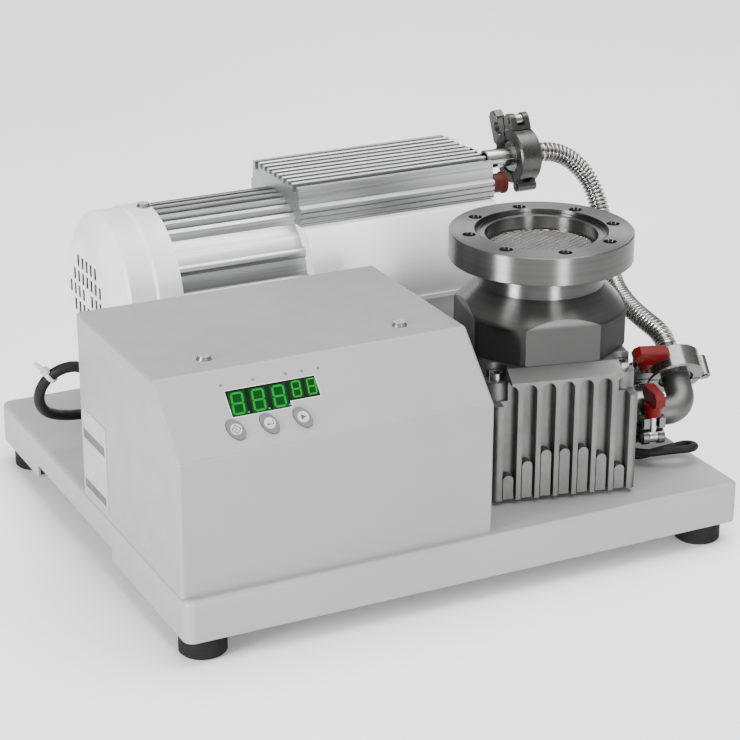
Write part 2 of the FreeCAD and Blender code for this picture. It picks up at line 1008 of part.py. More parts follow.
def mains_inlet():
    """The mains socket with three pins, in one moulding with the power switch's frame."""
    item = body("inlet_moulding")
    wall = S.cover_sheet
    x = S.inlet_socket_x
    z = S.inlet_socket_z
    face = cover_back
    pad(item, "XZ_Plane", face, 2, rounded(x - 17, z - 15, x + 17, S.rocker_z + 14, sized(3)))
    gap = 0.2
    pad(item, "XZ_Plane", face - 26, 26, rounded(x - 14.5 + gap, z - 12 + gap, x + 14.5 - gap,
                                                 S.rocker_z + 11 - gap, sized(2)))
    pocket(item, "XZ_Plane", face - 17, 20, [
        (x - 11.5, z - 8), (x + 11.5, z - 8), (x + 11.5, z + 3), (x + 7, z + 8), (x - 7, z + 8),
        (x - 11.5, z + 3),
    ])
    pins = [rectangle(x + u - 1, z + w - 2, x + u + 1, z + w + 2) for u, w in ((-7, -2.5), (7, -2.5), (0, 2.5))]
    pad(item, "XZ_Plane", face - 17, 15, *pins)
    half = S.rocker_half + S.rocker_room
    pocket(item, "XZ_Plane", face - 12, 15,
           rectangle(x - 6.5, S.rocker_z - half, x + 6.5, S.rocker_z + half))
    rail = rod(S.rocker_pin, 16, x - 8, face - S.rocker_depth, S.rocker_z, "X")
    return keep(fuse("mains_inlet", item, rail))


def power_rocker():
    """The switch's rocker, tipped to one side on the pin across its frame."""
    item = body("rocker_body")
    half = S.rocker_half
    face = S.rocker_depth
    pad(item, "YZ_Plane", -6.2, 12.4, [
        (-3, -3), (-3, 3), (face + 0.5, half), (face + 3.2, half - 0.3), (face + 0.9, 0),
        (face + 3.2, 0.3 - half), (face + 0.5, -half),
    ][::-1])
    hole = rod(S.rocker_pin + 0.05, 16, -8, 0, 0, "X")
    rocker = cut("power_rocker", item, hole)
    place(rocker, S.inlet_socket_x, cover_back - face, S.rocker_z,
          FreeCAD.Rotation(Vector(1, 0, 0), float(S.rocker_tilt)))
    rocker.setExpression("Placement.Rotation.Angle", S.rocker_tilt.text)
    return keep(rocker)


# The turbo pump. It is drawn about its own axis and then turned on the tray.

plate_top = tray_top + S.base_gap
screen_low = S.flange_top - S.screen_drop - 1
PAD_TOPS = (60.0, 68.5, 74.8, 74.5, 74.3, 68.7, 60.2)


def turbo(item):
    """Stand a piece that is drawn about the turbo pump's axis on the tray."""
    place(item, S.turbo_place_x, S.turbo_place_y, 0, FreeCAD.Rotation(Vector(0, 0, 1), float(S.turbo_turn)))
    item.setExpression("Placement.Rotation.Angle", S.turbo_turn.text)
    return item


def arch(x, half, low, top):
    """An upright slot with a round head."""
    spring = top - half
    return [(x - half, low), (x + half, low), (x + half, spring, x, spring, 1), (x - half, spring)]


def turbo_base():
    """The cast base: front and back carry fins between arched hollows, with machined pads."""
    item = body("casting")
    low = plate_top
    front = S.base_half
    edge = S.base_side
    pad(item, "YZ_Plane", -edge, edge * 2, [
        (-front, low), (front, low), (front, S.base_edge_top), (S.base_roof_half, S.base_top),
        (-S.base_roof_half, S.base_top), (-front, S.base_edge_top),
    ])
    soften(item, 3, upright)
    screw_x = S.base_screw_side
    screw_y = -S.base_screw_front
    corner = screw_x - S.base_boss * 0.65
    notch = pocket(item, "XY_Plane", S.spot_face - 11, 20, rectangle(corner, -front - 1, edge + 1, -S.base_root + 5))
    boss = pad(item, "XY_Plane", S.spot_face - 14, 14, (screw_x, screw_y, S.base_boss))
    spot = pocket(item, "XY_Plane", S.spot_face, 12, (screw_x, screw_y, S.base_boss - 1))
    thread = pocket(item, "XY_Plane", S.spot_face - 13, 14, (screw_x, screw_y, S.screw_hole))
    mount = pocket(item, "XY_Plane", low - 1, 6, (S.base_foot_side, -S.base_foot_side, S.screw_hole))
    repeat_both(item, [notch, boss, spot, thread, mount], ("Mirrored", "YZ_Plane"), ("Mirrored", "XZ_Plane"))
    gap = S.fin_pitch - S.fin_thick
    hollow = pocket(item, "XZ_Plane", -front - 1, front - S.base_root + 1,
                    arch(-S.fin_pitch * 3, gap / 2, low - 1, S.gap_arch_top))
    repeat_both(item, [hollow], ("LinearPattern", "X_Axis", S.fin_pitch * 6, 7), ("Mirrored", "XZ_Plane"))
    pads = [arch(S.fin_pitch * (n - 3), S.pad_width / 2, low, sized(top)) for n, top in enumerate(PAD_TOPS)]
    machined = pad(item, "XZ_Plane", -front + S.pad_recess, front - S.base_root - S.pad_recess + 0.5, *pads)
    mirror(item, [machined], "XZ_Plane")
    # The bosses of the backing port, on the right, and of the vent valve, on the left
    pad(item, "YZ_Plane", edge - 1, 5, (sized(0), S.port_height, sized(13)))
    shelf = rounded(S.vent_u - S.vent_radius, S.vent_v - S.vent_radius, -edge + 6, S.vent_v + S.vent_radius, sized(3))
    pad(item, "XY_Plane", S.base_top - 14, 14, shelf)
    pocket(item, "XY_Plane", S.base_top - 9, 10, (S.vent_u, S.vent_v, S.vent_stem + 0.05))
    pocket(item, "YZ_Plane", S.coil_radius - 2, edge + 8 - S.coil_radius, (sized(0), S.port_height, S.port_tube + 0.05))
    # The bore, stepped for the bearing, the motor and the drag sleeve
    revolve(item, [
        (0, S.bearing_low - 4), (S.shaft_radius + 1, S.bearing_low - 4), (S.shaft_radius + 1, S.bearing_low),
        (S.bearing_radius, S.bearing_low), (S.bearing_radius, S.coil_low), (S.coil_radius, S.coil_low),
        (S.coil_radius, S.sleeve_low), (S.base_bore, S.sleeve_low), (S.base_bore, S.base_top + 1),
        (0, S.base_top + 1),
    ], kind="Groove")
    pocket(item, "XZ_Plane", S.base_root - 8, front, (sized(0), sized(92), sized(7)))
    return keep(turbo(item), "turbo_base")


def turbo_base_plate():
    item = body("turbo_base_plate")
    half = S.base_side - 2
    front = S.base_root - 4
    pad(item, "XY_Plane", tray_top, S.base_gap, rounded(-half, -front, half, front, sized(6)))
    holes = [(S.base_foot_side * a, S.base_foot_side * b, S.screw_hole) for a, b in CORNERS]
    pocket(item, "XY_Plane", tray_top - 1, S.base_gap + 2, *holes)
    return keep(turbo(item))


def turbo_cap_screws():
    """Socket-headed screws in the corners of the casting."""
    screws = []
    for a, b in CORNERS:
        x = S.base_screw_side * a
        y = S.base_screw_front * b
        head = cut("cap_head", rod(4.2, 4.6, x, y, S.spot_face), rod(2, 3, x, y, S.spot_face + 2))
        screws.append(fuse("cap_screw", head, rod(S.screw_hole - 0.2, 10, x, y, S.spot_face - 10)))
    return keep(turbo(group("turbo_cap_screws", *screws)))


def turbo_envelope():
    """The turned steel body, with its knife-edge flange and milled flats."""
    item = body("turbo_envelope")
    top = S.flange_top
    floor = top - S.gasket_step
    ease = 0.5
    revolve(item, [
        (S.inlet_radius, S.base_top), (S.envelope_radius - ease, S.base_top),
        (S.envelope_radius, S.base_top + ease), (S.envelope_radius, S.envelope_wall_top),
        (S.neck_radius, S.envelope_neck_low), (S.neck_top_radius, top - S.flange_thick),
        (S.flange_radius - ease, top - S.flange_thick), (S.flange_radius, top - S.flange_thick + ease),
        (S.flange_radius, top - ease), (S.flange_radius - ease, top), (S.gasket_radius, top),
        (S.gasket_radius, floor), (S.knife_radius, floor + 1.1), (S.knife_radius, floor),
        (S.inlet_radius, floor),
    ])
    reach = S.envelope_radius + 2
    slab = rectangle(-reach, -reach, reach, -S.envelope_flat)
    flat = pocket(item, "XY_Plane", S.base_top - 1, top - S.flange_thick - 1 - S.base_top, slab)
    ring(item, [flat], "Z_Axis", 4)
    half_turn = math.sqrt(0.5)
    near = S.envelope_corner_flat
    far = near + 8
    wide = 30
    corner = [((a * wide + b * d) * half_turn, (a * wide - b * d) * half_turn)
              for a, b, d in ((1, 1, near), (1, 1, far), (-1, 1, far), (-1, 1, near))]
    facet = pocket(item, "XY_Plane", S.base_top - 1, S.envelope_wall_top - S.base_top + 1, corner)
    ring(item, [facet], "Z_Axis", 4)
    hole = pocket(item, "XY_Plane", top - S.flange_thick - 1, S.flange_thick + 2,
                  (S.flange_pcd / 2, sized(0), S.flange_hole))
    ring(item, [hole], "Z_Axis", 8)
    return keep(turbo(item))


def inlet_screen():
    """The splinter screen: a rim with slanting bars, resting on the stator stack."""
    item = body("inlet_screen")
    radius = S.inlet_radius - 0.1
    inner = radius - 2
    pad(item, "XY_Plane", screen_low, 1, (sized(0), sized(0), radius))
    pitch = inner * 2 / S.screen_slots
    slots = []
    for n in range(int(float(S.screen_slots))):
        low = -inner + pitch * n + S.screen_bar / 2
        high = low + pitch - S.screen_bar
        outer = low if abs(float(low)) > abs(float(high)) else high
        reach = side(inner, outer)
        slots.append(rectangle(-reach, low, reach, high))
    pocket(item, "XY_Plane", screen_low - 1, 3, *slots)
    return keep(turbo(item))


def turbo_rotor():
    """Bladed stages on a hub, with the drag stage's skirt below. Each blade is a slanting plate."""
    hub_top = float(S.rotor_top)
    outer = float(S.rotor_radius)
    hub = float(S.rotor_hub)
    blade = float(S.blade_width)
    tilt = float(S.blade_tilt)
    rise = blade * math.sin(math.radians(tilt))
    annulus = Part.makeCylinder(outer, hub_top, Vector(0, 0, 0)).cut(Part.makeCylinder(hub - 0.5, hub_top))
    plate = Part.makeBox(outer, blade, float(S.blade_thick), Vector(hub - 0.5, -blade / 2, -float(S.blade_thick) / 2))
    plate.rotate(Vector(0, 0, 0), Vector(1, 0, 0), tilt)
    blades = []
    for stage in range(int(float(S.stage_count))):
        middle = hub_top - rise / 2 - 2 - float(S.stage_pitch) * stage
        lean = FreeCAD.Placement(Vector(0, 0, middle), FreeCAD.Rotation())
        one = plate.copy()
        one.Placement = lean.multiply(one.Placement)
        one = one.common(annulus)
        for n in range(int(float(S.blade_count))):
            turned = one.copy()
            turned.rotate(Vector(0, 0, 0), Vector(0, 0, 1), 360 * n / float(S.blade_count))
            blades.append(turned)
    skirt = float(S.rotor_skirt)
    inner = skirt - float(S.skirt_wall)
    disc = float(S.rotor_disc_top)
    shaft = float(S.shaft_radius)
    points = [
        (shaft, disc - 4), (inner, disc - 4), (inner, float(S.skirt_low)), (skirt, float(S.skirt_low)),
        (skirt, disc), (hub, disc), (hub, hub_top), (hub - 6, hub_top + 2.5), (shaft, hub_top + 2.5),
    ]
    wire = Part.makePolygon([Vector(r, 0, z) for r, z in points + points[:1]])
    middle = Part.Face(wire).revolve(Vector(0, 0, 0), Vector(0, 0, 1), 360)
    return keep(turbo(shaped("turbo_rotor", middle.multiFuse(blades))))


def rotor_shaft():
    item = body("rotor_shaft")
    radius = S.shaft_radius
    revolve(item, [
        (0, S.shaft_low), (radius - 0.5, S.shaft_low), (radius, S.shaft_low + 0.5), (radius, S.magnet_low),
        (S.magnet_radius, S.magnet_low), (S.magnet_radius, S.magnet_high), (radius, S.magnet_high),
        (radius, S.rotor_top + 2.5), (0, S.rotor_top + 2.5),
    ])
    return keep(turbo(item))


def stator_stack():
    """The fixed discs between the rotor's stages, joined by their spacer rings."""
    item = body("stator_stack")
    outer = S.inlet_radius - 0.05
    inner = outer - S.stack_wall
    low = S.base_top + 0.02
    pad(item, "XY_Plane", low, screen_low - low, (sized(0), sized(0), outer), (sized(0), sized(0), inner))
    between = S.stage_pitch / 2 + S.blade_width * sine(S.blade_tilt) / 2 + 2
    first = S.rotor_top - between - S.stator_disc / 2 - S.stage_pitch * (S.stage_count - 1)
    disc = pad(item, "XY_Plane", first, S.stator_disc, (sized(0), sized(0), outer - 0.5),
               (sized(0), sized(0), S.rotor_hub + 0.6))
    row(item, [disc], "Z_Axis", S.stage_pitch * (S.stage_count - 1), S.stage_count)
    return keep(turbo(item))


def drag_sleeve():
    """The grooved sleeve round the rotor's skirt."""
    item = body("drag_sleeve")
    inner = S.rotor_skirt + S.sleeve_gap
    revolve(item, [(inner, S.sleeve_low), (S.base_bore, S.sleeve_low), (S.base_bore, S.base_top),
                   (inner, S.base_top)])
    groove = revolve(item, [
        (inner - 0.1, S.sleeve_low + 4), (inner + 2.5, S.sleeve_low + 5), (inner + 2.5, S.sleeve_low + 7),
        (inner - 0.1, S.sleeve_low + 8),
    ], kind="Groove")
    row(item, [groove], "Z_Axis", 18, 4)
    return keep(turbo(item))


def turbo_motor_stator():
    """The motor's winding, with the cap that holds the upper bearing."""
    item = body("turbo_motor_stator")
    gap = S.magnet_radius + 0.5
    outer = S.coil_radius
    revolve(item, [
        (gap, S.coil_low), (outer, S.coil_low), (outer, S.coil_high), (S.bearing_radius, S.coil_high),
        (S.bearing_radius, S.bearing_high), (gap, S.bearing_high),
    ])
    return keep(turbo(item))


def turbo_bearings():
    rings = []
    for z in (S.bearing_low, S.bearing_high):
        rings.append(cut("bearing", rod(S.bearing_radius, S.bearing_height, 0, 0, z),
                         rod(S.shaft_radius + S.shaft_fit, S.bearing_height + 2, 0, 0, z - 1)))
    return keep(turbo(group("turbo_bearings", *rings)))


def vent_knob():
    """The vent valve's knurled knob, with its stem in the boss."""
    item = body("vent_knob")
    radius = S.vent_radius
    top = S.base_top + S.vent_height
    revolve(item, [
        (0, S.base_top - 8.5), (S.vent_stem, S.base_top - 8.5), (S.vent_stem, S.base_top + 0.3),
        (radius - 1.5, S.base_top + 0.3), (radius - 1.5, S.base_top + 3), (radius, S.base_top + 3),
        (radius, top - 1), (radius - 1, top), (0, top),
    ])
    flute = pocket(item, "XY_Plane", S.base_top + 2.5, S.vent_height, (radius + 0.5, sized(0), sized(1.1)))
    ring(item, [flute], "Z_Axis", 16)
    place(item, *turbo_spot(S.vent_u, S.vent_v), 0)
    return keep(item)


# The vacuum line: flanged joints, each closed by a hinged clamp with a swing bolt

ACROSS = Vector(math.cos(math.radians(float(S.turbo_turn))), math.sin(math.radians(float(S.turbo_turn))), 0)
AWAY = Vector(-ACROSS.y, ACROSS.x, 0)
UP = Vector(0, 0, 1)


def frame(spot, pipe, ears):
    """A joint's own axes: Z along its pipe, and X to the clamp's bolt side."""
    sideways = pipe.cross(ears)
    matrix = FreeCAD.Matrix(
        ears.x, sideways.x, pipe.x, spot.x,
        ears.y, sideways.y, pipe.y, spot.y,
        ears.z, sideways.z, pipe.z, spot.z)
    return FreeCAD.Placement(matrix)


def joint_frames():
    """The three joints of the line: at the port, over the elbow and at the pump's inlet."""
    low = Vector(float(S.turbo_place_x), float(S.turbo_place_y), float(S.port_height))
    port = low + ACROSS * float(S.port_reach)
    lean = math.radians(float(S.elbow_tilt))
    rising = AWAY * math.cos(lean) + UP * math.sin(lean)
    corner = port + ACROSS * float(S.joint_leg)
    top = corner + rising * float(S.joint_leg)
    inlet = Vector(float(S.inlet_joint_x), float(S.inlet_tube_y), float(S.inlet_tube_z))
    tip = math.radians(float(S.inlet_clamp_turn))
    swing = math.radians(float(S.elbow_clamp_turn))
    toward = -ACROSS * math.cos(swing) - rising.cross(ACROSS) * math.sin(swing)
    return {
        "port": frame(port, -ACROSS, -AWAY),
        "elbow": frame(top, rising, toward),
        "inlet": frame(inlet, Vector(-1, 0, 0), Vector(0, math.sin(tip), math.cos(tip))),
    }


JOINTS = joint_frames()


def flange_section(bore, tube, length):
    """Half a flanged tube: a rim with a sloping back, and the tube behind it."""
    back = S.kf_gap + S.kf_rim
    hub = back + (S.kf_radius - S.kf_hub) * math.tan(math.radians(15))
    seat = S.kf_gap + S.seat_depth
    return [
        (S.pipe_bore, S.kf_gap), (S.kf_radius, S.kf_gap), (S.kf_radius, back), (S.kf_hub, hub),
        (S.kf_hub, hub + 0.6), (tube, hub + 0.6), (tube, length), (bore, length), (bore, seat),
        (S.pipe_bore, seat),
    ]


def flipped(placement):
    """The same joint, seen from its other side."""
    return placement.multiply(FreeCAD.Placement(Vector(), FreeCAD.Rotation(Vector(1, 0, 0), 180)))


def backing_port():
    """The flanged tube that screws into the casting's right side."""
    item = body("backing_port")
    length = S.port_reach - S.coil_radius - 4
    revolve(item, flange_section(S.port_bore, S.port_tube, length))
    collar = S.port_reach - S.base_side - 4
    pad(item, "XY_Plane", collar - 4, 4, (sized(0), sized(0), S.kf_hub), (sized(0), sized(0), S.port_tube - 0.5))
    item.Placement = JOINTS["port"]
    return keep(item)


def elbow():
    """The cast elbow between the port and the hose, flanged at both ends."""
    leg = float(S.joint_leg)
    bend = float(S.elbow_bend)
    outline = [Vector(float(r), 0, float(z)) for r, z in flange_section(S.port_bore, S.elbow_radius, leg - bend)]
    half = Part.Face(Part.makePolygon(outline + outline[:1]))
    straight = half.revolve(Vector(), Vector(0, 0, 1), 360)
    ring_face = Part.Face([
        Part.Wire(Part.makeCircle(float(S.elbow_radius), Vector(0, 0, leg - bend), Vector(0, 0, 1))),
        Part.Wire(Part.makeCircle(float(S.port_bore), Vector(0, 0, leg - bend), Vector(0, 0, 1))),
    ])
    turn = ring_face.revolve(Vector(bend, 0, leg - bend), Vector(0, 1, 0), 90)
    other = straight.copy()
    other.Placement = FreeCAD.Placement(Vector(leg, 0, leg), FreeCAD.Rotation(Vector(0, 1, 0), -90))
    item = shaped("elbow", straight.fuse([turn, other]).removeSplitter())
    spot = JOINTS["port"].Base
    rising = JOINTS["elbow"].Rotation.multVec(Vector(0, 0, 1))
    item.Placement = frame(spot, ACROSS, rising)
    return keep(item)


def centring_rings():
    """In each joint a metal centring ring and its rubber seal."""
    pieces = []
    for spot in JOINTS.values():
        item = body("centring_ring")
        half = S.kf_gap + 1.5
        inner = S.pipe_bore - 1
        revolve(item, [
            (inner, -half), (S.pipe_bore - 0.05, -half), (S.pipe_bore - 0.05, -1), (S.kf_hub - 2.1, -1),
            (S.kf_hub - 2.1, 1), (S.pipe_bore - 0.05, 1), (S.pipe_bore - 0.05, half), (inner, half),
        ])
        seal = torus(S.kf_hub, S.kf_gap - 0.02)
        pair = group("ring_pair", item, seal)
        pair.Placement = spot
        pieces.append(pair)
    return keep(group("centring_rings", *pieces))


def clamp_section():
    """Half the clamp ring: its groove's cheeks lie along the sloping backs of both flanges."""
    slope = math.tan(math.radians(15))
    deep = S.kf_radius + 0.4
    edge = S.kf_gap + S.kf_rim + 0.04
    lip = edge + (deep - S.ring_bore) * slope
    wide = S.ring_half_width
    return [
        (S.ring_bore, -wide), (S.ring_radius - 1, -wide), (S.ring_radius, 1 - wide),
        (S.ring_radius, wide - 1), (S.ring_radius - 1, wide), (S.ring_bore, wide), (S.ring_bore, lip),
        (deep, edge), (deep, -edge), (S.ring_bore, -lip),
    ]


def clamp(name):
    """One hinged clamp: its two halves with the hinge pin, its swing bolt and its wing nut."""
    spot = JOINTS[name]
    split = S.ring_split / 2
    reach = S.bolt_reach
    pivot = -S.bolt_pivot_low
    ring_body = body("clamp_ring")
    revolve(ring_body, clamp_section())
    wide = S.ring_radius + 14
    ear = S.ear_half
    slot_half = S.bolt_radius + 0.3
    # The half on the nut's side, whose open ear is rounded about the bolt's pivot
    ear_block = block(S.ring_radius - 3, split, -ear, S.ear_reach - S.ring_radius + 3, 12, ear * 2)
    swing_room = rod(S.ear_arc, ear * 4, reach, pivot, -ear * 2)
    upper_ear = common("upper_ear", ear_block, swing_room)
    knuckle = S.hinge_radius
    pin = S.pin_radius
    upper_knuckle = rod(knuckle, S.eye_half * 2, -S.hinge_reach, 0, -S.eye_half)
    upper_arm = block(-S.hinge_reach, split, -S.eye_half, S.hinge_reach - S.ring_radius + 3, 3.4 - split,
                      S.eye_half * 2)
    whole = fuse("upper_whole", common("upper_ring", ring_body, block(-wide, split, -wide, wide * 2, wide, wide * 2)),
                 upper_ear, upper_knuckle, upper_arm)
    hollow = rod(S.kf_radius + 0.4, S.kf_gap * 2 + S.kf_rim * 2, 0, 0, -S.kf_gap - S.kf_rim)
    slot = block(reach - slot_half, -wide, -slot_half, wide, wide * 2, slot_half * 2)
    upper = cut("upper_half", whole, hollow, slot, rod(pin + 0.03, 30, -S.hinge_reach, 0, -15))
    # The half with the forked ear, between whose cheeks the bolt turns on its pin
    eye = S.eye_half + 0.1
    fork = fuse("fork", rod(5, ear * 2, reach, pivot, -ear),
                block(S.ring_radius - 3, pivot - 5, -ear, reach - S.ring_radius + 3, S.bolt_pivot_low + 5 - split,
                      ear * 2))
    lower_knuckle = rod(knuckle, ear * 2, -S.hinge_reach, 0, -ear)
    lower_arm = block(-S.hinge_reach, -3.4, -ear, S.hinge_reach - S.ring_radius + 3, 3.4 - split, ear * 2)
    lower_whole = fuse("lower_whole",
                       common("lower_ring", ring_body, block(-wide, -wide - split, -wide, wide * 2, wide, wide * 2)),
                       fork, lower_knuckle, lower_arm)
    bolt_room = block(reach - S.eye_radius - 0.6, -wide, -eye, wide, wide * 2, eye * 2)
    knuckle_room = block(-wide, -wide / 2, -eye, wide - S.hinge_reach + knuckle + 0.2, wide, eye * 2)
    lower = cut("lower_half", lower_whole, hollow, bolt_room, knuckle_room,
                rod(pin + S.bolt_fit, 30, reach, pivot, -15), rod(pin + 0.03, 30, -S.hinge_reach, 0, -15))
    hinge_pin = rod(pin, ear * 2 + 1, -S.hinge_reach, 0, -ear - 0.5)
    swing_pin = rod(pin, ear * 2 + 1, reach, pivot, -ear - 0.5)
    halves = group(name + "_clamp", upper, lower, hinge_pin, swing_pin)
    halves.Placement = spot
    keep(halves)
    # The swing bolt's eye turns on the pin
    length = S.nut_seat + S.wing_rise + S.wing_high - 1.5
    stem = rod(S.bolt_radius, length, reach, pivot, 0, "Y")
    eye_disc = rod(S.eye_radius, S.eye_half * 2, reach, pivot, -S.eye_half)
    bolt = cut(name + "_bolt", fuse("bolt_solid", stem, eye_disc),
               rod(pin + S.bolt_fit, 20, reach, pivot, -10))
    bolt.Placement = spot
    keep(bolt)
    nut = wing_nut(name, reach, pivot)
    nut.Placement = spot
    keep(nut)


def wing_nut(name, x, pivot):
    """A moulded wing nut: a flared hub under a thick bar with canted ends."""
    seat = pivot + S.nut_seat
    hub = cone(S.nut_radius - 1, S.nut_radius, S.wing_rise + 1, x, seat, 0, "Y")
    bar = body("wing_bar")
    high = seat + S.wing_rise
    top = high + S.wing_high
    half = S.wing_half
    cant = 3
    pad(bar, "XY_Plane", -S.wing_thick / 2, S.wing_thick, [
        (x - half + cant * 1.6, high), (x + half - cant * 1.6, high), (x + half, high + cant), (x + half, top - cant),
        (x + half - cant, top), (x - half + cant, top), (x - half, top - cant), (x - half, high + cant),
    ])
    soften(bar, 1, lambda edge: edge.BoundBox.ZLength < 0.01)
    bore = rod(S.bolt_radius + S.bolt_fit, 40, x, seat - 2, 0, "Y")
    return cut(name + "_wing_nut", fuse("wing_solid", hub, bar), bore)


def inlet_tube():
    item = body("inlet_tube")
    length = S.inlet_joint_x - S.head_left - S.head_length
    revolve(item, flange_section(S.tube_bore, S.tube_radius, length))
    item.Placement = JOINTS["inlet"]
    return keep(item)


# Tubes along a route of straight runs joined by tangent arcs

def route_path(points):
    """The wire through a list of points, with each corner rounded as widely as its runs allow."""
    spots = [Vector(*point) for point in points]
    edges = []
    radii = []
    start = spots[0]
    for before, corner, after in zip(spots, spots[1:], spots[2:]):
        into = corner - before
        out = after - corner
        shorter = min(into.Length, out.Length)
        turn = into.getAngle(out)
        reach = 0.45 * shorter
        into.normalize()
        out.normalize()
        begin = corner - into * reach
        end = corner + out * reach
        radius = reach / math.tan(turn / 2)
        inward = out - into
        inward.normalize()
        middle = corner + inward * (radius / math.cos(turn / 2) - radius)
        edges.append(Part.LineSegment(start, begin).toShape())
        edges.append(Part.Arc(begin, middle, end).toShape())
        radii.append(radius)
        start = end
    edges.append(Part.LineSegment(start, spots[-1]).toShape())
    return Part.Wire(edges), radii


def route_tube(name, points, radius):
    """A round tube along a route, with its length and radii printed."""
    path, radii = route_path(points)
    first = Vector(*points[0])
    along = Vector(*points[1]) - first
    section = Part.Wire(Part.makeCircle(float(radius), first, along))
    tube = path.makePipeShell([section], True, True)
    expected = math.pi * float(radius) ** 2 * path.Length
    print("%s: length %.1f, radii %s, volume %.4f of the expected" % (
        name, path.Length, " ".join("%.1f" % r for r in radii), tube.Volume / expected))
    return tube


def at_joint(name, x, y, z):
    return JOINTS[name].multVec(Vector(float(x), float(y), float(z)))


def hose_route():
    """The hose from the pump's inlet joint, over and down to the elbow's joint."""
    start = at_joint("inlet", 0, 0, -S.hose_cuff)
    first = at_joint("inlet", 0, 0, -S.hose_cuff - 9)
    last = at_joint("elbow", 0, 0, S.hose_cuff + 9)
    end = at_joint("elbow", 0, 0, S.hose_cuff)
    return [tuple(start), tuple(first)] + HOSE_POINTS + [tuple(last), tuple(end)]


HOSE_POINTS = [
    (202.0, 74.0, 185.5),
    (213.5, 69.0, 171.5),
    (217.0, 58.5, 153.5),
    (212.5, 43.5, 136.5),
    (204.5, 24.5, 122.5),
    (197.0, 3.5, 114.0),
    (193.0, -18.5, 109.5),
    (192.0, -39.0, 106.8),
]


def bellows_hose():
    """The metal hose, a flanged cuff at each end and the bellows between them."""
    cuffs = []
    for name in ("inlet", "elbow"):
        outline = [Vector(float(r), 0, float(z))
                   for r, z in flange_section(S.tube_bore, S.tube_radius, S.hose_cuff)]
        cuff = Part.Face(Part.makePolygon(outline + outline[:1])).revolve(Vector(), Vector(0, 0, 1), 360)
        cuff.Placement = flipped(JOINTS[name]) if name == "inlet" else JOINTS[name]
        cuffs.append(cuff)
    tube = route_tube("bellows_hose", hose_route(), S.hose_radius)
    return keep(shaped("bellows_hose", tube.fuse(cuffs)))


# The backing pump. It is drawn about its shaft, which runs along X.

pump_right = S.head_left + S.head_length
case_right = S.head_left + S.crank_length
middle_x = S.head_left + S.head_length / 2
CYLINDERS = (("connecting_rod_left", -1), ("connecting_rod_right", 1))


def high(z):
    """A height over the tray's ground, measured from the pump's shaft."""
    return z - S.pump_axis_z


def pump(item):
    return place(item, 0, S.pump_axis_y, S.pump_axis_z)


def head_block():
    """The extruded head: ribs along its top, a lip, a band and grooves along each side."""
    item = body("head_block")
    half = S.head_half_depth
    lip = half - S.head_lip_depth
    slot = S.head_rib_pitch * (S.head_rib_count - 1) / 2 + S.head_rib_width / 2
    band = half - S.head_band_depth
    seam = high(S.head_seam)
    low = high(S.head_band_low)
    top = high(S.head_band_high)
    right = [
        (half - 1, seam), (half, seam + 1), (half, low), (band, low + 1.5), (band, top - 1.5), (half - 3, top),
        (lip, top), (lip, high(S.head_lip_top)), (lip - 3.5, high(S.head_lip_top)), (lip - 3.5, high(S.head_slot_low)),
        (slot, high(S.head_slot_low)), (slot, high(S.head_root)),
    ]
    left = [(-y, z) for y, z in reversed(right)]
    pad(item, "YZ_Plane", S.head_left, S.head_length, right + left)
    edge = S.head_rib_width / 2
    rib = pad(item, "YZ_Plane", S.head_left, S.head_length, [
        (slot - edge * 2, high(S.head_root) - 0.5), (slot, high(S.head_root) - 0.5), (slot, high(S.head_top) - 0.6),
        (slot - 0.6, high(S.head_top)), (slot - edge * 2 + 0.6, high(S.head_top)),
        (slot - edge * 2, high(S.head_top) - 0.6),
    ])
    turned = repeat(item, [rib], "LinearPattern", "Y_Axis", S.head_rib_pitch * (S.head_rib_count - 1),
                    S.head_rib_count)
    turned.Reversed = True
    groove = pocket(item, "YZ_Plane", S.head_left - 1, S.head_length + 2, [
        (half - 1.1, seam + 1.8), (half + 1, seam + 1.3), (half + 1, seam + 3.2), (half - 1.1, seam + 2.7),
    ])
    repeat_both(item, [groove], ("LinearPattern", "Z_Axis", S.head_groove_pitch * 2, 3), ("Mirrored", "XZ_Plane"))
    chambers = [(middle_x + S.cylinder_offset * b, sized(0), S.chamber_radius) for _, b in CYLINDERS]
    pocket(item, "XY_Plane", seam - 1, S.chamber_depth + 1, *chambers)
    seats = [(middle_x + S.cylinder_offset * b, sized(0), S.membrane_radius + 0.05) for _, b in CYLINDERS]
    pocket(item, "XY_Plane", seam - 1, S.membrane_thick + 1, *seats)
    ports = [(middle_x + S.cylinder_offset * b + 8 * a, sized(0), sized(3)) for _, b in CYLINDERS for a in (-1, 1)]
    pocket(item, "XY_Plane", seam, 12, *ports)
    screws = [(middle_x + u, (half - 5.5) * b, S.screw_hole) for u in HEAD_SCREWS for b in (-1, 1)]
    pocket(item, "XY_Plane", seam - 1, 12, *screws)
    return keep(pump(item))


HEAD_SCREWS = (-64, 0, 64)


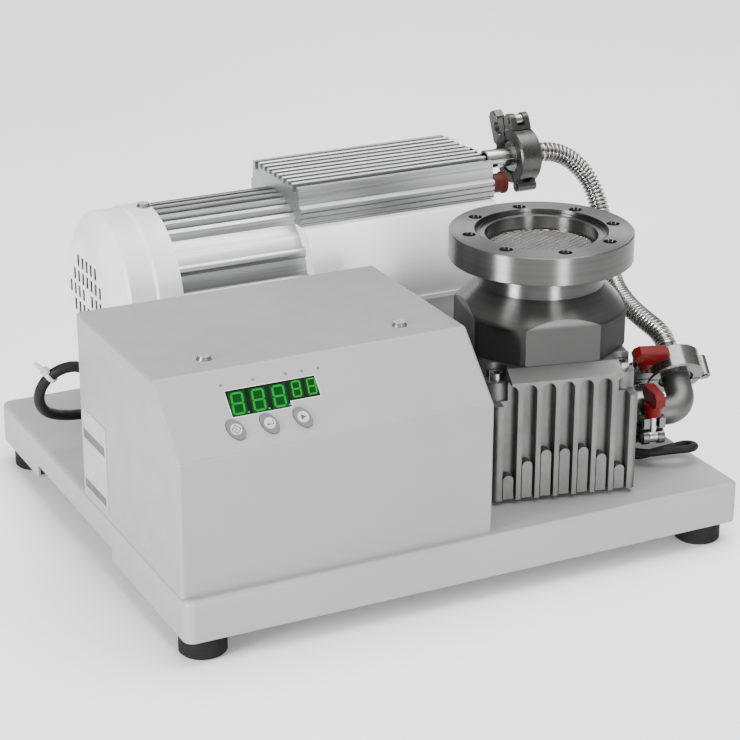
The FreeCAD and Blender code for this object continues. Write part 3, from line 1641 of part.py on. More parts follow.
def crankcase():
    """The white housing: a flat seat for the head, round sides, and a lip where its halves meet."""
    item = body("case_shell")
    radius = S.crank_radius
    seam = high(S.head_seam)
    flat = S.crank_top_half
    meet = side(radius, seam)
    parting = high(S.crank_parting)
    wide = side(radius, parting)
    lip = S.crank_lip
    low_radius = S.crank_low_radius
    low_z = parting - lip
    low_y = side(low_radius, low_z)
    pad(item, "YZ_Plane", S.head_left, S.crank_length, [
        (wide, parting, 0, 0, 1), (meet, seam), (-meet, seam, 0, 0, 1), (-wide, parting), (-wide - lip / 2, parting),
        (-wide - lip / 2, low_z), (-low_y, low_z, 0, 0, 1), (low_y, low_z), (wide + lip / 2, low_z),
        (wide + lip / 2, parting),
    ])
    soften(item, 3, lambda edge: edge.BoundBox.XLength > 1 and abs(edge.BoundBox.ZMin - float(seam)) < 0.01)
    foot = S.pump_foot_reach
    width = S.pump_foot_width
    feet = []
    for x in (S.mount_left, S.mount_right):
        feet.append(rectangle(x - width / 2, foot - width, x + width / 2, foot + 4))
        feet.append(rectangle(x - width / 2, -foot - 4, x + width / 2, width - foot))
    pad(item, "XY_Plane", high(S.pump_foot_low), S.pump_axis_z - S.pump_foot_low - 36, *feet)
    threads = [(x, S.mount_side * b, S.screw_hole) for x in (S.mount_left, S.mount_right) for b in (-1, 1)]
    pocket(item, "XY_Plane", high(S.pump_foot_low) - 1, 10, *threads)
    screws = [(middle_x + u, (S.head_half_depth - 5.5) * b, S.screw_hole) for u in HEAD_SCREWS for b in (-1, 1)]
    pocket(item, "XY_Plane", seam - 12, 13, *screws)
    holes = [(middle_x + S.cylinder_offset * b, sized(0), S.cylinder_radius) for _, b in CYLINDERS]
    pocket(item, "XY_Plane", sized(0), seam + 1, *holes)
    wall = S.crank_wall
    cavity = rod(S.crank_bore, S.crank_length - wall * 2, S.head_left + wall, 0, 0, "X")
    through = rod(S.drive_radius + 0.5, wall + 2, S.head_left - 1, 0, 0, "X")
    seats = [rod(S.pump_bearing_radius, S.pump_bearing_width, S.head_left + wall - S.pump_bearing_width, 0, 0, "X"),
             rod(S.pump_bearing_radius, S.pump_bearing_width, case_right - wall, 0, 0, "X")]
    return keep(pump(cut("crankcase", item, cavity, through, *seats)))


def head_screws():
    """The long screws that pull the head down, driven from above between its ribs."""
    screws = []
    shank = S.screw_hole - 0.2
    for u in HEAD_SCREWS:
        for b in (-1, 1):
            screws.append(rod(shank, 20, middle_x + u, (S.head_half_depth - 5.5) * b, high(S.head_seam) - 10))
    return keep(pump(group("head_screws", *screws)))


def pump_feet():
    """Rubber buffers between the tray and the pump's housing."""
    feet = []
    height = S.pump_foot_low - tray_top
    for x in (S.mount_left, S.mount_right):
        for b in (-1, 1):
            y = S.pump_axis_y + S.mount_side * b
            buffer = fuse("buffer", rod(9, height, x, y, tray_top), torus(9, 1.2, x, y, tray_top + height / 2))
            feet.append(cut("buffer_bored", buffer, rod(S.screw_hole, 9, x, y, tray_top - 0.5)))
    return keep(group("pump_feet", *feet))


def motor_housing():
    """The extruded motor housing: fine ribs over and under, broad flutes along its sides."""
    item = body("housing_ribs")
    left = S.motor_left
    length = S.head_left - left
    radius = S.motor_radius
    pad(item, "YZ_Plane", left, length, (sized(0), sized(0), radius))
    edge = S.motor_rib_width / 2
    reach = S.motor_rib_pitch * (S.motor_rib_count - 1) / 2
    low = side(radius, reach + edge) - 1
    ribs = pad(item, "YZ_Plane", left, length, rectangle(reach - edge, low, reach + edge, sized(60)))
    first = repeat_both(item, [ribs], ("LinearPattern", "Y_Axis", reach * 2, S.motor_rib_count),
                        ("Mirrored", "XY_Plane"))
    first.Transformations[0].Reversed = True
    flutes = [side_rib(tilt) for tilt in (-30, -10, 10, 30)]
    shell = common("housing_round", item, rod(S.motor_rib_radius, length, left, 0, 0, "X"))
    return keep(pump(cut("motor_housing", fuse("housing_whole", shell, *flutes),
                         rod(S.motor_bore, length + 2, left - 1, 0, 0, "X"))))


def side_rib(tilt):
    """A broad round rib along each side of the motor housing."""
    ribs = []
    for b in (-1, 1):
        y = S.motor_radius * cosine(tilt) * b
        z = S.motor_radius * sine(tilt)
        ribs.append(rod(S.motor_flute, S.head_left - S.motor_left, S.motor_left, y, z, "X"))
    return fuse("side_rib", *ribs)


def fan_cowl():
    """The moulded cowl: two low steps round it and a slotted grille in its end."""
    item = body("fan_cowl")
    outer = S.cowl_radius
    wall = S.cowl_wall
    step = S.cowl_step
    face = S.cowl_face_radius
    end = S.cowl_end
    right = S.motor_left
    knee = S.cowl_ring_two
    second = outer - step
    third = second - step
    bend = 5.5
    revolve(item, [
        (end, 0), (end, face), (end + 1.2, face + 3), (knee, third - 0.8), (knee + 1, third), (knee + 2.2, second),
        (S.cowl_ring_one - 1, second), (S.cowl_ring_one + 0.6, outer), (right, outer), (right, outer - wall),
        (S.cowl_ring_one + 1.5, outer - wall), (knee + 2, third - wall), (end + bend, face), (end + wall, face - 2),
        (end + wall, 0),
    ], axis="X")
    boss = pad(item, "YZ_Plane", end, wall + 2, (sized(0), sized(0), sized(4)))
    slots = []
    for i in range(-5, 6):
        for j in range(-4, 5):
            y = S.slot_pitch_wide * i
            z = S.slot_pitch_tall * j
            half = S.slot_wide / 2
            tall = S.slot_tall / 2
            spread = math.hypot(abs(float(y)) + float(half), abs(float(z)) + float(tall))
            if spread < float(S.grille_radius) and (i, j) != (0, 0):
                slots.append(rectangle(y - half, z - tall, y + half, z + tall))
    pocket(item, "YZ_Plane", end - 1, wall + 2, *slots)
    screws = [(S.motor_left - 4, sized(0), S.screw_hole)]
    pocket(item, "XY_Plane", outer - wall - 4, 8, *screws)
    return keep(pump(item))


def cooling_fan():
    item = body("fan_hub")
    left = S.fan_left
    width = S.fan_width
    hub = S.fan_hub
    bore = S.drive_radius
    revolve(item, [(left, bore), (left, hub), (left + width, hub), (left + width, bore)], axis="X")
    blade = pad(item, "YZ_Plane", left + 1, width - 2, [
        (hub - 1, -0.9), (S.fan_radius, -0.9), (S.fan_radius, 0.9), (hub - 1, 0.9),
    ])
    ring(item, [blade], "X_Axis", S.fan_blades)
    return keep(pump(item), "cooling_fan")


def pump_motor_stator():
    item = body("pump_motor_stator")
    outer = S.motor_bore
    bore = S.coil_bore
    revolve(item, [
        (S.core_left - 8, bore + 4), (S.core_left - 8, outer - 3), (S.core_left, outer - 3), (S.core_left, outer),
        (S.core_right, outer), (S.core_right, outer - 3), (S.core_right + 8, outer - 3), (S.core_right + 8, bore + 4),
        (S.core_right, bore + 4), (S.core_right, bore), (S.core_left, bore), (S.core_left, bore + 4),
    ], axis="X")
    return keep(pump(item))


def motor_end_plate():
    """The plate that closes the motor, carries the outer bearing and holds the cowl's rim."""
    item = body("motor_end_plate")
    outer = S.motor_bore
    left = S.motor_left
    rim = S.cowl_radius - S.cowl_wall
    revolve(item, [
        (left - 9, S.drive_radius + 0.5), (left - 9, rim), (left, rim), (left, outer), (left + 4, outer),
        (left + 4, 20),
        (left + 4 + S.pump_bearing_width, 20), (left + 4 + S.pump_bearing_width, S.pump_bearing_radius),
        (left + 4, S.pump_bearing_radius), (left + 4, S.drive_radius + 0.5),
    ], axis="X")
    thread = (left - 4, sized(0), S.screw_hole - 0.1)
    pocket(item, "XY_Plane", rim - 13, 16, thread)
    return keep(pump(item))


def cross_head_screws():
    """The two screws of the controller's cover and the one that holds the cowl."""
    shank = S.screw_hole - 0.15
    tall = S.cross_head_high
    screws = []
    for x in (S.cap_screw_left, S.cap_screw_right):
        spot = (cover_left + x, cover_low + S.cap_screw_back)
        screws.append(fuse("cover_screw", cone(S.cross_head, S.cross_head - 1, tall, *spot, cover_top),
                           rod(shank, 7, *spot, cover_top - 7)))
    seat = S.pump_axis_z + S.cowl_radius
    spot = (S.motor_left - 4, S.pump_axis_y)
    screws.append(fuse("cowl_screw", cone(S.cross_head, S.cross_head - 1, tall, *spot, seat),
                       rod(shank, 9, *spot, seat - 9)))
    return keep(group("cross_head_screws", *screws))


def crankshaft():
    """The motor's shaft with its rotor and the two eccentrics, half a turn apart."""
    item = body("shaft_turned")
    right = case_right - 1
    revolve(item, [
        (S.drive_left, 0), (S.drive_left, S.drive_radius), (S.core_left, S.drive_radius),
        (S.core_left, S.core_radius), (S.core_right, S.core_radius), (S.core_right, S.drive_radius),
        (right, S.drive_radius), (right, 0),
    ], axis="X")
    discs = []
    for _, b in CYLINDERS:
        x = middle_x + S.cylinder_offset * b
        discs.append(rod(S.eccentric_radius, S.eccentric_half * 2, x - S.eccentric_half, 0, S.crank_throw * b, "X"))
    return keep(pump(fuse("crankshaft", item, *discs)))


def shaft_bearings():
    rings = []
    width = S.pump_bearing_width
    wall = S.crank_wall
    for x in (S.motor_left + 4, S.head_left + wall - width, case_right - wall):
        rings.append(cut("shaft_bearing", rod(S.pump_bearing_radius, width, x, 0, 0, "X"),
                         rod(S.drive_radius + S.shaft_fit, width + 2, x - 1, 0, 0, "X")))
    return keep(pump(group("shaft_bearings", *rings)))


def connecting_rods():
    """Each rod runs on its eccentric and clamps the diaphragm's middle between two discs."""
    seam = high(S.head_seam)
    for label, b in CYLINDERS:
        x = middle_x + S.cylinder_offset * b
        centre = S.crank_throw * b
        half = S.eccentric_half
        neck_top = seam - S.membrane_gap - S.crank_throw + centre
        disc_low = neck_top - 3
        eye = rod(S.rod_radius, half * 2 - 1, x - half + 0.5, 0, centre, "X")
        neck = block(x - 5, -6, centre + S.rod_radius - 3, 10, 12, disc_low - centre - S.rod_radius + 3.5)
        disc = cone(S.disc_radius - 3, S.disc_radius - 1, 3, x, 0, disc_low)
        bore = rod(S.eccentric_radius + S.rod_fit, half * 2 + 2, x - half - 1, 0, centre, "X")
        keep(pump(cut(label, fuse("rod_whole", eye, neck, disc), bore)))


def diaphragms():
    """Rubber diaphragms, their rims held between the head and the housing."""
    discs = []
    seam = high(S.head_seam)
    for _, b in CYLINDERS:
        x = middle_x + S.cylinder_offset * b
        discs.append(rod(S.membrane_radius, S.membrane_thick, x, 0, seam))
    return keep(pump(group("diaphragms", *discs)))


def exhaust_cap():
    """The cap on the head's outlet, over its washer."""
    item = body("exhaust_cap")
    right = pump_right
    radius = S.cap_radius
    revolve(item, [
        (right, 0), (right, radius - 0.6), (right + 0.6, radius), (right + S.cap_length, radius),
        (right + S.cap_length, radius + 0.9), (right + S.cap_length + 2, radius + 0.9),
        (right + S.cap_length + 2, 0),
    ], axis="X")
    return keep(place(item, 0, S.cap_y, S.cap_z))


# Cables and the pump's outer hose

def transfer_hose():
    """The hose from the head's end down to the housing's end."""
    right = float(pump_right)
    case = float(case_right)
    points = [
        (right, 116.0, 187.0), (right + 8, 116.0, 187.0), (right + 16.5, 116.0, 181.5), (right + 20, 116.5, 169.5),
        (right + 19.5, 117.0, 155.5), (right + 15, 117.0, 143.5), (right + 6.5, 117.0, 138.0), (case, 117.0, 138.0),
    ]
    return keep(shaped("transfer_hose", route_tube("transfer_hose", points, S.sleeve_radius)))


def pump_cable_plug():
    """The right-angled plug on the controller's back, whose outlet points up and to the left."""
    item = body("plug_body")
    face = cover_back
    pad(item, "XZ_Plane", face - 10, 10, (S.plug_x, S.plug_z, sized(7)))
    pad(item, "XZ_Plane", face, 3, (S.plug_x, S.plug_z, sized(10)))
    pad(item, "XZ_Plane", face + 3, 14, (S.plug_x, S.plug_z, sized(8.2)))
    outlet = rod(5.2, 16, S.plug_x, face + 10, S.plug_z)
    return keep(fuse("pump_cable_plug", item, outlet))


def pump_cable():
    """The pump's supply cable: from the plug, up and round to the back of the housing."""
    plug = (float(S.plug_x), float(cover_back) + 10, float(S.plug_z) + 16)
    points = [
        plug, (plug[0], plug[1], plug[2] + 9), (-170.0, 10.5, 114.0), (-184.0, 14.0, 121.0), (-198.0, 20.0, 114.0),
        (-203.0, 29.0, 98.0), (-196.0, 40.0, 82.0), (-180.0, 52.0, 72.0), (-160.0, 62.0, 66.0),
        (-138.0, 70.0, 60.0), (-114.0, 76.0, 56.0), (-90.0, 80.0, 53.0), (-66.0, 83.0, 52.0),
        (-44.0, 87.0, 52.0), (-26.0, 93.0, 54.0), (-16.0, 97.0, 62.0), (-14.5, 99.0, 71.0),
    ]
    return keep(shaped("pump_cable", route_tube("pump_cable", points, S.cable_radius)))


def turbo_cable():
    """The turbo pump's lead: from the casting's back, along its side to a loop below the elbow, and
    back round it to the controller."""
    side_run = [
        (0, 44, 92), (0, 58, 92), (3, 72, 89), (13, 84, 79), (28, 86, 65), (42, 77, 53), (50, 62, 46.5),
        (51, 42, 44.4), (50.3, 21, 44.4), (50.5, 2, 44.6), (53, -11, 44.8), (64, -17.5, 45.4), (77, -15.5, 47),
        (88, -15, 48.5), (96, -15, 49.8), (100, -21.5, 51), (96, -28, 52), (88, -28, 52), (77, -27, 51.5), (66, -26, 50.5), (57, -18.5, 50.3),
        (55.3, -4, 50.6), (55.4, 14, 50.2), (56.5, 34, 48.5), (56.5, 54, 46.5), (51, 74, 45), (37, 90, 44.6),
    ]
    route = []
    for u, v, z in side_run:
        x, y = turbo_spot(u, v)
        route.append((float(x), float(y), float(z)))
    end = float(cover_back)
    route += [
        (122.0, 11.0, 44.6), (97.0, 13.0, 44.5), (70.0, 12.0, 44.6), (46.0, 11.5, 46.5), (26.0, 13.0, 52.0),
        (11.0, 14.5, 58.0), (0.5, 11.5, 60.5), (-4.0, 5.0, 61.0), (-4.0, end, 61.0),
    ]
    return keep(shaped("turbo_cable", route_tube("turbo_cable", route, S.thin_cable)))


# The whole station

base_tray()
rubber_feet()
tray_screws()
controller_cover()
buttons()
display_window()
display_board()
controller_board()
power_supply()
controller_back_panel()
mains_inlet()
power_rocker()
pump_cable_plug()
turbo_base_plate()
turbo_base()
turbo_cap_screws()
turbo_envelope()
inlet_screen()
stator_stack()
drag_sleeve()
turbo_motor_stator()
turbo_bearings()
turbo_rotor()
rotor_shaft()
vent_knob()
backing_port()
elbow()
centring_rings()
for joint in JOINTS:
    clamp(joint)
inlet_tube()
bellows_hose()
pump_feet()
crankcase()
head_block()
head_screws()
exhaust_cap()
motor_housing()
pump_motor_stator()
motor_end_plate()
fan_cowl()
cooling_fan()
crankshaft()
shaft_bearings()
connecting_rods()
diaphragms()
cross_head_screws()
transfer_hose()
pump_cable()
turbo_cable()


# Build, check and write every piece

def finish():
    doc.recompute()
    for item in doc.Objects:
        if "Invalid" in item.State or "Error" in item.State:
            raise RuntimeError("%s (%s) failed: %s" % (item.Label, item.Name, item.State))
    os.makedirs("parts", exist_ok=True)
    for item in nodes:
        shape = item.Shape
        if shape.isNull() or not shape.isValid() or not shape.Solids:
            raise RuntimeError("%s has no valid solid" % item.Label)
        shape.exportStep("parts/%s.step" % item.Label)
        print("%-24s %3d solids %10.0f mm3" % (item.Label, len(shape.Solids), shape.Volume))


finish()
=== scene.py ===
import json
import math

import bmesh
import bpy
from mathutils import Matrix, Vector


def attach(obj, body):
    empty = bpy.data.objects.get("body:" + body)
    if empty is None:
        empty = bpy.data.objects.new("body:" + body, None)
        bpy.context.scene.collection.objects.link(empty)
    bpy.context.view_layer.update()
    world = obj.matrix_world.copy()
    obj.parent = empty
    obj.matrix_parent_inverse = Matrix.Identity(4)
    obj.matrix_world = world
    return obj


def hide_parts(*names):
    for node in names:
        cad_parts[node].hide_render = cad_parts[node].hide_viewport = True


# A bench-top turbo pumping station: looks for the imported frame. Lengths in millimetres are named in
# capitals below and turned into metres by mm().

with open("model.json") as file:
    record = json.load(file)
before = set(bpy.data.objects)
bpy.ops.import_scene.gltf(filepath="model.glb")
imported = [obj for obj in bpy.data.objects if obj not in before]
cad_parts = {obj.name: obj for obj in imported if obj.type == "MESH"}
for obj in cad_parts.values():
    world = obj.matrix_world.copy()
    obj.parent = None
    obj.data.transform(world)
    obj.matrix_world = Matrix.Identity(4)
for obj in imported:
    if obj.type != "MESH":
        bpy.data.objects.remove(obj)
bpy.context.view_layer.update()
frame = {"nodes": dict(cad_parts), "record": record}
NODES = frame["nodes"]


def mm(*values):
    return Vector([value / 1000 for value in values])


# Places taken from the CAD: the turbo pump's axis and turn, the controller's edges, the keys' middles on the
# sloping panel, and the fan cowl's end face with how far its slots reach and how deep its outer skin is, past
# which the slots get painted shade

TURBO = mm(87.4, -79.9, 0)
TURBO_TURN = math.radians(-12.73)
ACROSS = Vector((math.cos(TURBO_TURN), math.sin(TURBO_TURN), 0))
AWAY = Vector((-ACROSS.y, ACROSS.x, 0))
COVER_LEFT = -185.5
COVER_LOW = -159.3
SLOPE_LOW = 123.0
KEY_U = (38.8, 59.15, 79.5)
KEY_V = 14.2
COWL_FACE = mm(-143, 100, 128.8)
COWL_SLOTS = 37.5
COWL_SKIN = 0.6


def panel(u, v, lift):
    """A point over the controller's sloping panel, from its left lower corner, in metres."""
    up = math.sqrt(0.5)
    return mm(COVER_LEFT + u, COVER_LOW + (v - lift) * up, SLOPE_LOW + (v + lift) * up)


# Materials

class Shader:
    """A material's node tree with short calls for the nodes that all finishes use."""

    COAT_ROUGHNESS = 0.15
    NOISE_ROUGHNESS = 0.55
    # A colour mix node's sockets, which share their names with hidden ones of other kinds
    MIX_SHARE, MIX_FIRST, MIX_SECOND = 0, 6, 7
    MIX_RESULT = 2

    def __init__(self, name, colour, metallic=0.0, roughness=0.5, coat=0.0):
        self.material = bpy.data.materials.new(name)
        self.material.use_nodes = True
        self.tree = self.material.node_tree
        self.main = self.tree.nodes["Principled BSDF"]
        self.main.inputs["Base Color"].default_value = (*colour, 1)
        self.main.inputs["Metallic"].default_value = metallic
        self.main.inputs["Roughness"].default_value = roughness
        self.main.inputs["Coat Weight"].default_value = coat
        self.main.inputs["Coat Roughness"].default_value = self.COAT_ROUGHNESS
        self.point = self.node("ShaderNodeTexCoord").outputs["Object"]
        self.height = None

    def node(self, kind, **values):
        made = self.tree.nodes.new(kind)
        for key, value in values.items():
            setattr(made, key, value)
        return made

    def link(self, source, target):
        self.tree.links.new(source, target)

    def math(self, operation, first, second=None):
        made = self.node("ShaderNodeMath", operation=operation)
        for socket, value in zip(made.inputs, (first, second)):
            if value is None:
                continue
            if isinstance(value, (int, float)):
                socket.default_value = value
            else:
                self.link(value, socket)
        return made.outputs[0]

    def stretched(self, scale, centre=(0, 0, 0), turn=(0, 0, 0)):
        """The object's coordinates, moved, turned and stretched."""
        made = self.node("ShaderNodeMapping", vector_type="TEXTURE")
        made.inputs["Location"].default_value = centre
        made.inputs["Rotation"].default_value = turn
        made.inputs["Scale"].default_value = scale
        self.link(self.point, made.inputs["Vector"])
        return made.outputs["Vector"]

    def apart(self, source):
        """A vector's three values."""
        made = self.node("ShaderNodeSeparateXYZ")
        self.link(source, made.inputs[0])
        return made.outputs

    def round_axis(self, centre, turn=(0, 0, 0)):
        """Radius and height about an axis, as coordinates for turning marks."""
        x, y, z = self.apart(self.stretched((1, 1, 1), centre, turn))
        square = self.math("ADD", self.math("MULTIPLY", x, x), self.math("MULTIPLY", y, y))
        joined = self.node("ShaderNodeCombineXYZ")
        self.link(self.math("SQRT", square), joined.inputs[0])
        self.link(z, joined.inputs[2])
        return joined.outputs[0]

    def noise(self, scale, detail, where=None):
        made = self.node("ShaderNodeTexNoise")
        made.inputs["Scale"].default_value = scale
        made.inputs["Detail"].default_value = detail
        made.inputs["Roughness"].default_value = self.NOISE_ROUGHNESS
        self.link(where or self.point, made.inputs["Vector"])
        return made.outputs["Fac"]

    def spread(self, source, low, high, start=0.3, end=0.7):
        """A value between two others, by a texture that runs from start to end."""
        made = self.node("ShaderNodeMapRange")
        for key, value in (("From Min", start), ("From Max", end), ("To Min", low), ("To Max", high)):
            made.inputs[key].default_value = value
        self.link(source, made.inputs["Value"])
        return made.outputs["Result"]

    def tones(self, source, dark, light, start=0.35, end=0.65):
        """Colour between two tones, by a texture."""
        ramp = self.node("ShaderNodeValToRGB")
        ramp.color_ramp.elements[0].position = start
        ramp.color_ramp.elements[1].position = end
        ramp.color_ramp.elements[0].color = (*dark, 1)
        ramp.color_ramp.elements[1].color = (*light, 1)
        self.link(source, ramp.inputs[0])
        self.link(ramp.outputs[0], self.main.inputs["Base Color"])

    def overlaid(self, share, colour):
        """Another colour over the tones, by a share from 0 to 1."""
        mix = self.node("ShaderNodeMix", data_type="RGBA")
        before = self.main.inputs["Base Color"].links[0].from_socket
        self.link(share, mix.inputs[self.MIX_SHARE])
        self.link(before, mix.inputs[self.MIX_FIRST])
        mix.inputs[self.MIX_SECOND].default_value = (*colour, 1)
        self.link(mix.outputs[self.MIX_RESULT], self.main.inputs["Base Color"])

    def worn(self, source, low, high):
        """Roughness between two values, by a texture."""
        self.link(self.spread(source, low, high), self.main.inputs["Roughness"])

    def bump(self, source, strength, distance=0.0002):
        """A fine relief over those that are there already."""
        made = self.node("ShaderNodeBump")
        made.inputs["Strength"].default_value = strength
        made.inputs["Distance"].default_value = distance
        self.link(source, made.inputs["Height"])
        if self.height is not None:
            self.link(self.height, made.inputs["Normal"])
        self.height = made.outputs["Normal"]
        self.link(self.height, self.main.inputs["Normal"])


def shade(colour, factor):
    """A colour made lighter or darker."""
    return tuple(min(1.0, channel * factor) for channel in colour)


# Values of the finishes below: the painted shade in open slots, how high a milled foot is and how it differs
# from turned metal, and how far turning marks draw a reflection out and which way
SLOT_PAINTED_SHADE = (0.02, 0.02, 0.02)
MILLED_TOP = 148.0
MILLED_SHADE = 0.75
MILLED_ROUGHER = 0.42
MILLED_EDGE = 3.0
TURNED_STREAK = 0.95
ROUND_STREAK = 0.25


def powder_coat(name, colour, roughness=0.42):
    """Fine textured powder coat on folded sheet, a little uneven in tone."""
    made = Shader(name, colour, 0.0, roughness)
    made.tones(made.noise(scale=9, detail=4), shade(colour, 0.965), shade(colour, 1.03))
    made.worn(made.noise(scale=60, detail=4), roughness - 0.05, roughness + 0.06)
    made.bump(made.noise(scale=1400, detail=2), strength=0.10)
    made.bump(made.noise(scale=260, detail=2), strength=0.05, distance=0.0004)
    return made.material


def moulded(name, colour, roughness=0.45, grain=1200, depth=0.10, gloss=0.4, slots=None):
    """Moulded plastic with a fine grain.

    It can paint shade into a face's slots, near black deeper than the light outer skin, given by the face's
    middle, the slots' reach and the depth of that skin."""
    made = Shader(name, colour, 0.0, roughness)
    made.main.inputs["Specular IOR Level"].default_value = gloss
    made.tones(made.noise(scale=25, detail=3), shade(colour, 0.93), shade(colour, 1.06))
    made.worn(made.noise(scale=90, detail=4), roughness - 0.06, roughness + 0.07)
    made.bump(made.noise(scale=grain, detail=2), strength=depth)
    if slots:
        face, reach, deep = slots
        radius, _, inward = made.apart(made.round_axis(face, (0, math.pi / 2, 0)))
        # Painted shade: the slots' walls deeper than the outer skin are coloured near black
        slot_shade = made.math("MULTIPLY", made.math("LESS_THAN", radius, reach),
                           made.math("GREATER_THAN", inward, deep))
        made.overlaid(slot_shade, SLOT_PAINTED_SHADE)
    return made.material


def rubber(name, roughness):
    """Dull moulded rubber or cable jacket."""
    colour = (0.0055, 0.0055, 0.006)
    made = Shader(name, colour, 0.0, roughness)
    made.main.inputs["Specular IOR Level"].default_value = 0.12
    made.tones(made.noise(scale=40, detail=5), shade(colour, 0.8), shade(colour, 1.6))
    made.worn(made.noise(scale=120, detail=4), roughness - 0.1, roughness + 0.14)
    made.bump(made.noise(scale=900, detail=3), strength=0.16)
    return made.material


def blasted(name, colour, roughness, grain=1500, depth=0.35):
    """Cast metal after bead blasting: matt, with a fine pitted skin and faint cloudiness."""
    made = Shader(name, colour, 0.92, roughness)
    made.tones(made.noise(scale=30, detail=5), shade(colour, 0.86), shade(colour, 1.08))
    made.worn(made.noise(scale=140, detail=4), roughness - 0.07, roughness + 0.1)
    made.bump(made.noise(scale=grain, detail=3), strength=depth, distance=0.00012)
    made.bump(made.noise(scale=120, detail=3), strength=0.12, distance=0.0004)
    return made.material


def turned(name, colour, roughness, milled=None):
    """Metal turned on a lathe: fine rings round the turbo pump's axis, which draw reflections out along it.

    Below a height it can be milled instead, which is duller and darker."""
    made = Shader(name, colour, 1.0, roughness)
    made.main.inputs["Anisotropic"].default_value = TURNED_STREAK
    made.main.inputs["Anisotropic Rotation"].default_value = ROUND_STREAK
    rings = made.round_axis(TURBO)
    made.tones(made.noise(scale=420, detail=2, where=rings), shade(colour, 0.9), shade(colour, 1.05))
    made.worn(made.noise(scale=900, detail=3, where=rings), roughness - 0.04, roughness + 0.06)
    made.bump(made.noise(scale=5200, detail=2, where=rings), strength=0.06, distance=0.00003)
    if milled:
        height = made.apart(rings)[2]
        share = made.spread(height, low=1, high=0, start=milled, end=milled + MILLED_EDGE / 1000)
        made.overlaid(share, shade(colour, MILLED_SHADE))
        rough = made.main.inputs["Roughness"]
        duller = made.math("MULTIPLY", share, MILLED_ROUGHER)
        made.link(made.math("ADD", rough.links[0].from_socket, duller), rough)
    return made.material


def drawn(name, colour, roughness, stretch, grain=1500):
    """Extruded or drawn metal, streaked along one way."""
    made = Shader(name, colour, 1.0, roughness)
    streaks = made.stretched(tuple(1 / share for share in stretch))
    wide, medium, fine = (made.noise(grain * share, detail=3, where=streaks) for share in (0.35, 0.6, 1))
    made.tones(wide, shade(colour, 0.84), shade(colour, 1.05))
    made.worn(medium, roughness - 0.08, roughness + 0.12)
    made.bump(fine, strength=0.22, distance=0.00008)
    return made.material


def bright(name, colour, roughness):
    """Machined bright metal with handling marks."""
    made = Shader(name, colour, 1.0, roughness)
    made.tones(made.noise(scale=70, detail=4), shade(colour, 0.85), shade(colour, 1.08))
    made.worn(made.noise(scale=320, detail=4), roughness - 0.06, roughness + 0.12)
    made.bump(made.noise(scale=700, detail=3), strength=0.06, distance=0.0001)
    return made.material


def lit(name, colour, glow, strength):
    """A surface that gives light, uneven as light from behind a diffuser is."""
    made = Shader(name, colour, 0.0, 0.35)
    made.main.inputs["Specular IOR Level"].default_value = 0.03
    made.tones(made.noise(scale=500, detail=2), shade(colour, 0.8), colour)
    made.main.inputs["Emission Color"].default_value = (*glow, 1)
    made.main.inputs["Emission Strength"].default_value = strength
    made.worn(made.noise(scale=200, detail=2), 0.25, 0.4)
    return made.material


def display_glass():
    """The smoked window over the digits, under a matt film."""
    made = Shader("smoked_window", (0.002, 0.006, 0.003), 0.0, 0.3)
    made.main.inputs["Specular IOR Level"].default_value = 0.03
    made.tones(made.noise(scale=60, detail=2), (0.001, 0.004, 0.002), (0.003, 0.010, 0.005))
    made.worn(made.noise(scale=150, detail=3), 0.4, 0.5)
    made.bump(made.noise(scale=90, detail=2), strength=0.03, distance=0.0002)
    return made.material


def windings():
    """Enamelled copper wire, wound round the axis in close turns."""
    made = Shader("copper_winding", (0.42, 0.17, 0.07), 0.85, 0.32)
    rings = made.round_axis(TURBO)
    turns = made.noise(scale=2400, detail=1, where=rings)
    made.tones(turns, (0.22, 0.08, 0.03), (0.5, 0.22, 0.09))
    made.worn(made.noise(scale=300, detail=2), 0.25, 0.42)
    made.bump(turns, strength=0.5, distance=0.0002)
    return made.material


def circuit():
    """Solder-masked board with faint copper runs under the mask."""
    made = Shader("circuit_board", (0.01, 0.09, 0.04), 0.0, 0.35, coat=0.2)
    cells = made.node("ShaderNodeTexVoronoi", distance="MANHATTAN")
    cells.inputs["Scale"].default_value = 380
    made.link(made.point, cells.inputs["Vector"])
    made.tones(cells.outputs["Distance"], (0.006, 0.05, 0.02), (0.02, 0.14, 0.06), start=0.1, end=0.5)
    made.worn(made.noise(scale=300, detail=2), 0.28, 0.45)
    made.bump(cells.outputs["Distance"], strength=0.2, distance=0.0001)
    return made.material


COAT = powder_coat("tray_coat", (0.23, 0.23, 0.229))
COVER = powder_coat("cover_coat", (0.207, 0.207, 0.206))
REAR = powder_coat("rear_coat", (0.28, 0.28, 0.28))
WHITE = powder_coat("crankcase_paint", (0.66, 0.663, 0.667), roughness=0.36)
# The cowl's slots get painted shade deeper than its outer skin
COWL = moulded("cowl_plastic", (0.58, 0.583, 0.587), roughness=0.38, grain=900, depth=0.05,
               slots=(COWL_FACE, COWL_SLOTS / 1000, COWL_SKIN / 1000))
RUBBER = rubber("black_rubber", roughness=0.65)
CABLE = rubber("cable_jacket", roughness=0.5)
BLACK = moulded("black_moulding", (0.010, 0.010, 0.011), gloss=0.25)
KEYS = moulded("grey_keys", (0.085, 0.085, 0.087), roughness=0.5)
RED = moulded("red_moulding", (0.10, 0.0013, 0.001), roughness=0.4, grain=700, depth=0.12, gloss=0.18)
BROWN = moulded("brown_moulding", (0.05, 0.009, 0.006), roughness=0.55, grain=700, depth=0.15, gloss=0.15)
LABEL = moulded("blank_plate_face", (0.29, 0.288, 0.285), roughness=0.5, grain=500, depth=0.03)
BAND = moulded("plate_band", (0.055, 0.055, 0.057), roughness=0.5, grain=500, depth=0.03)
NYLON = moulded("pale_nylon", (0.34, 0.335, 0.32), roughness=0.4, grain=900, depth=0.06)
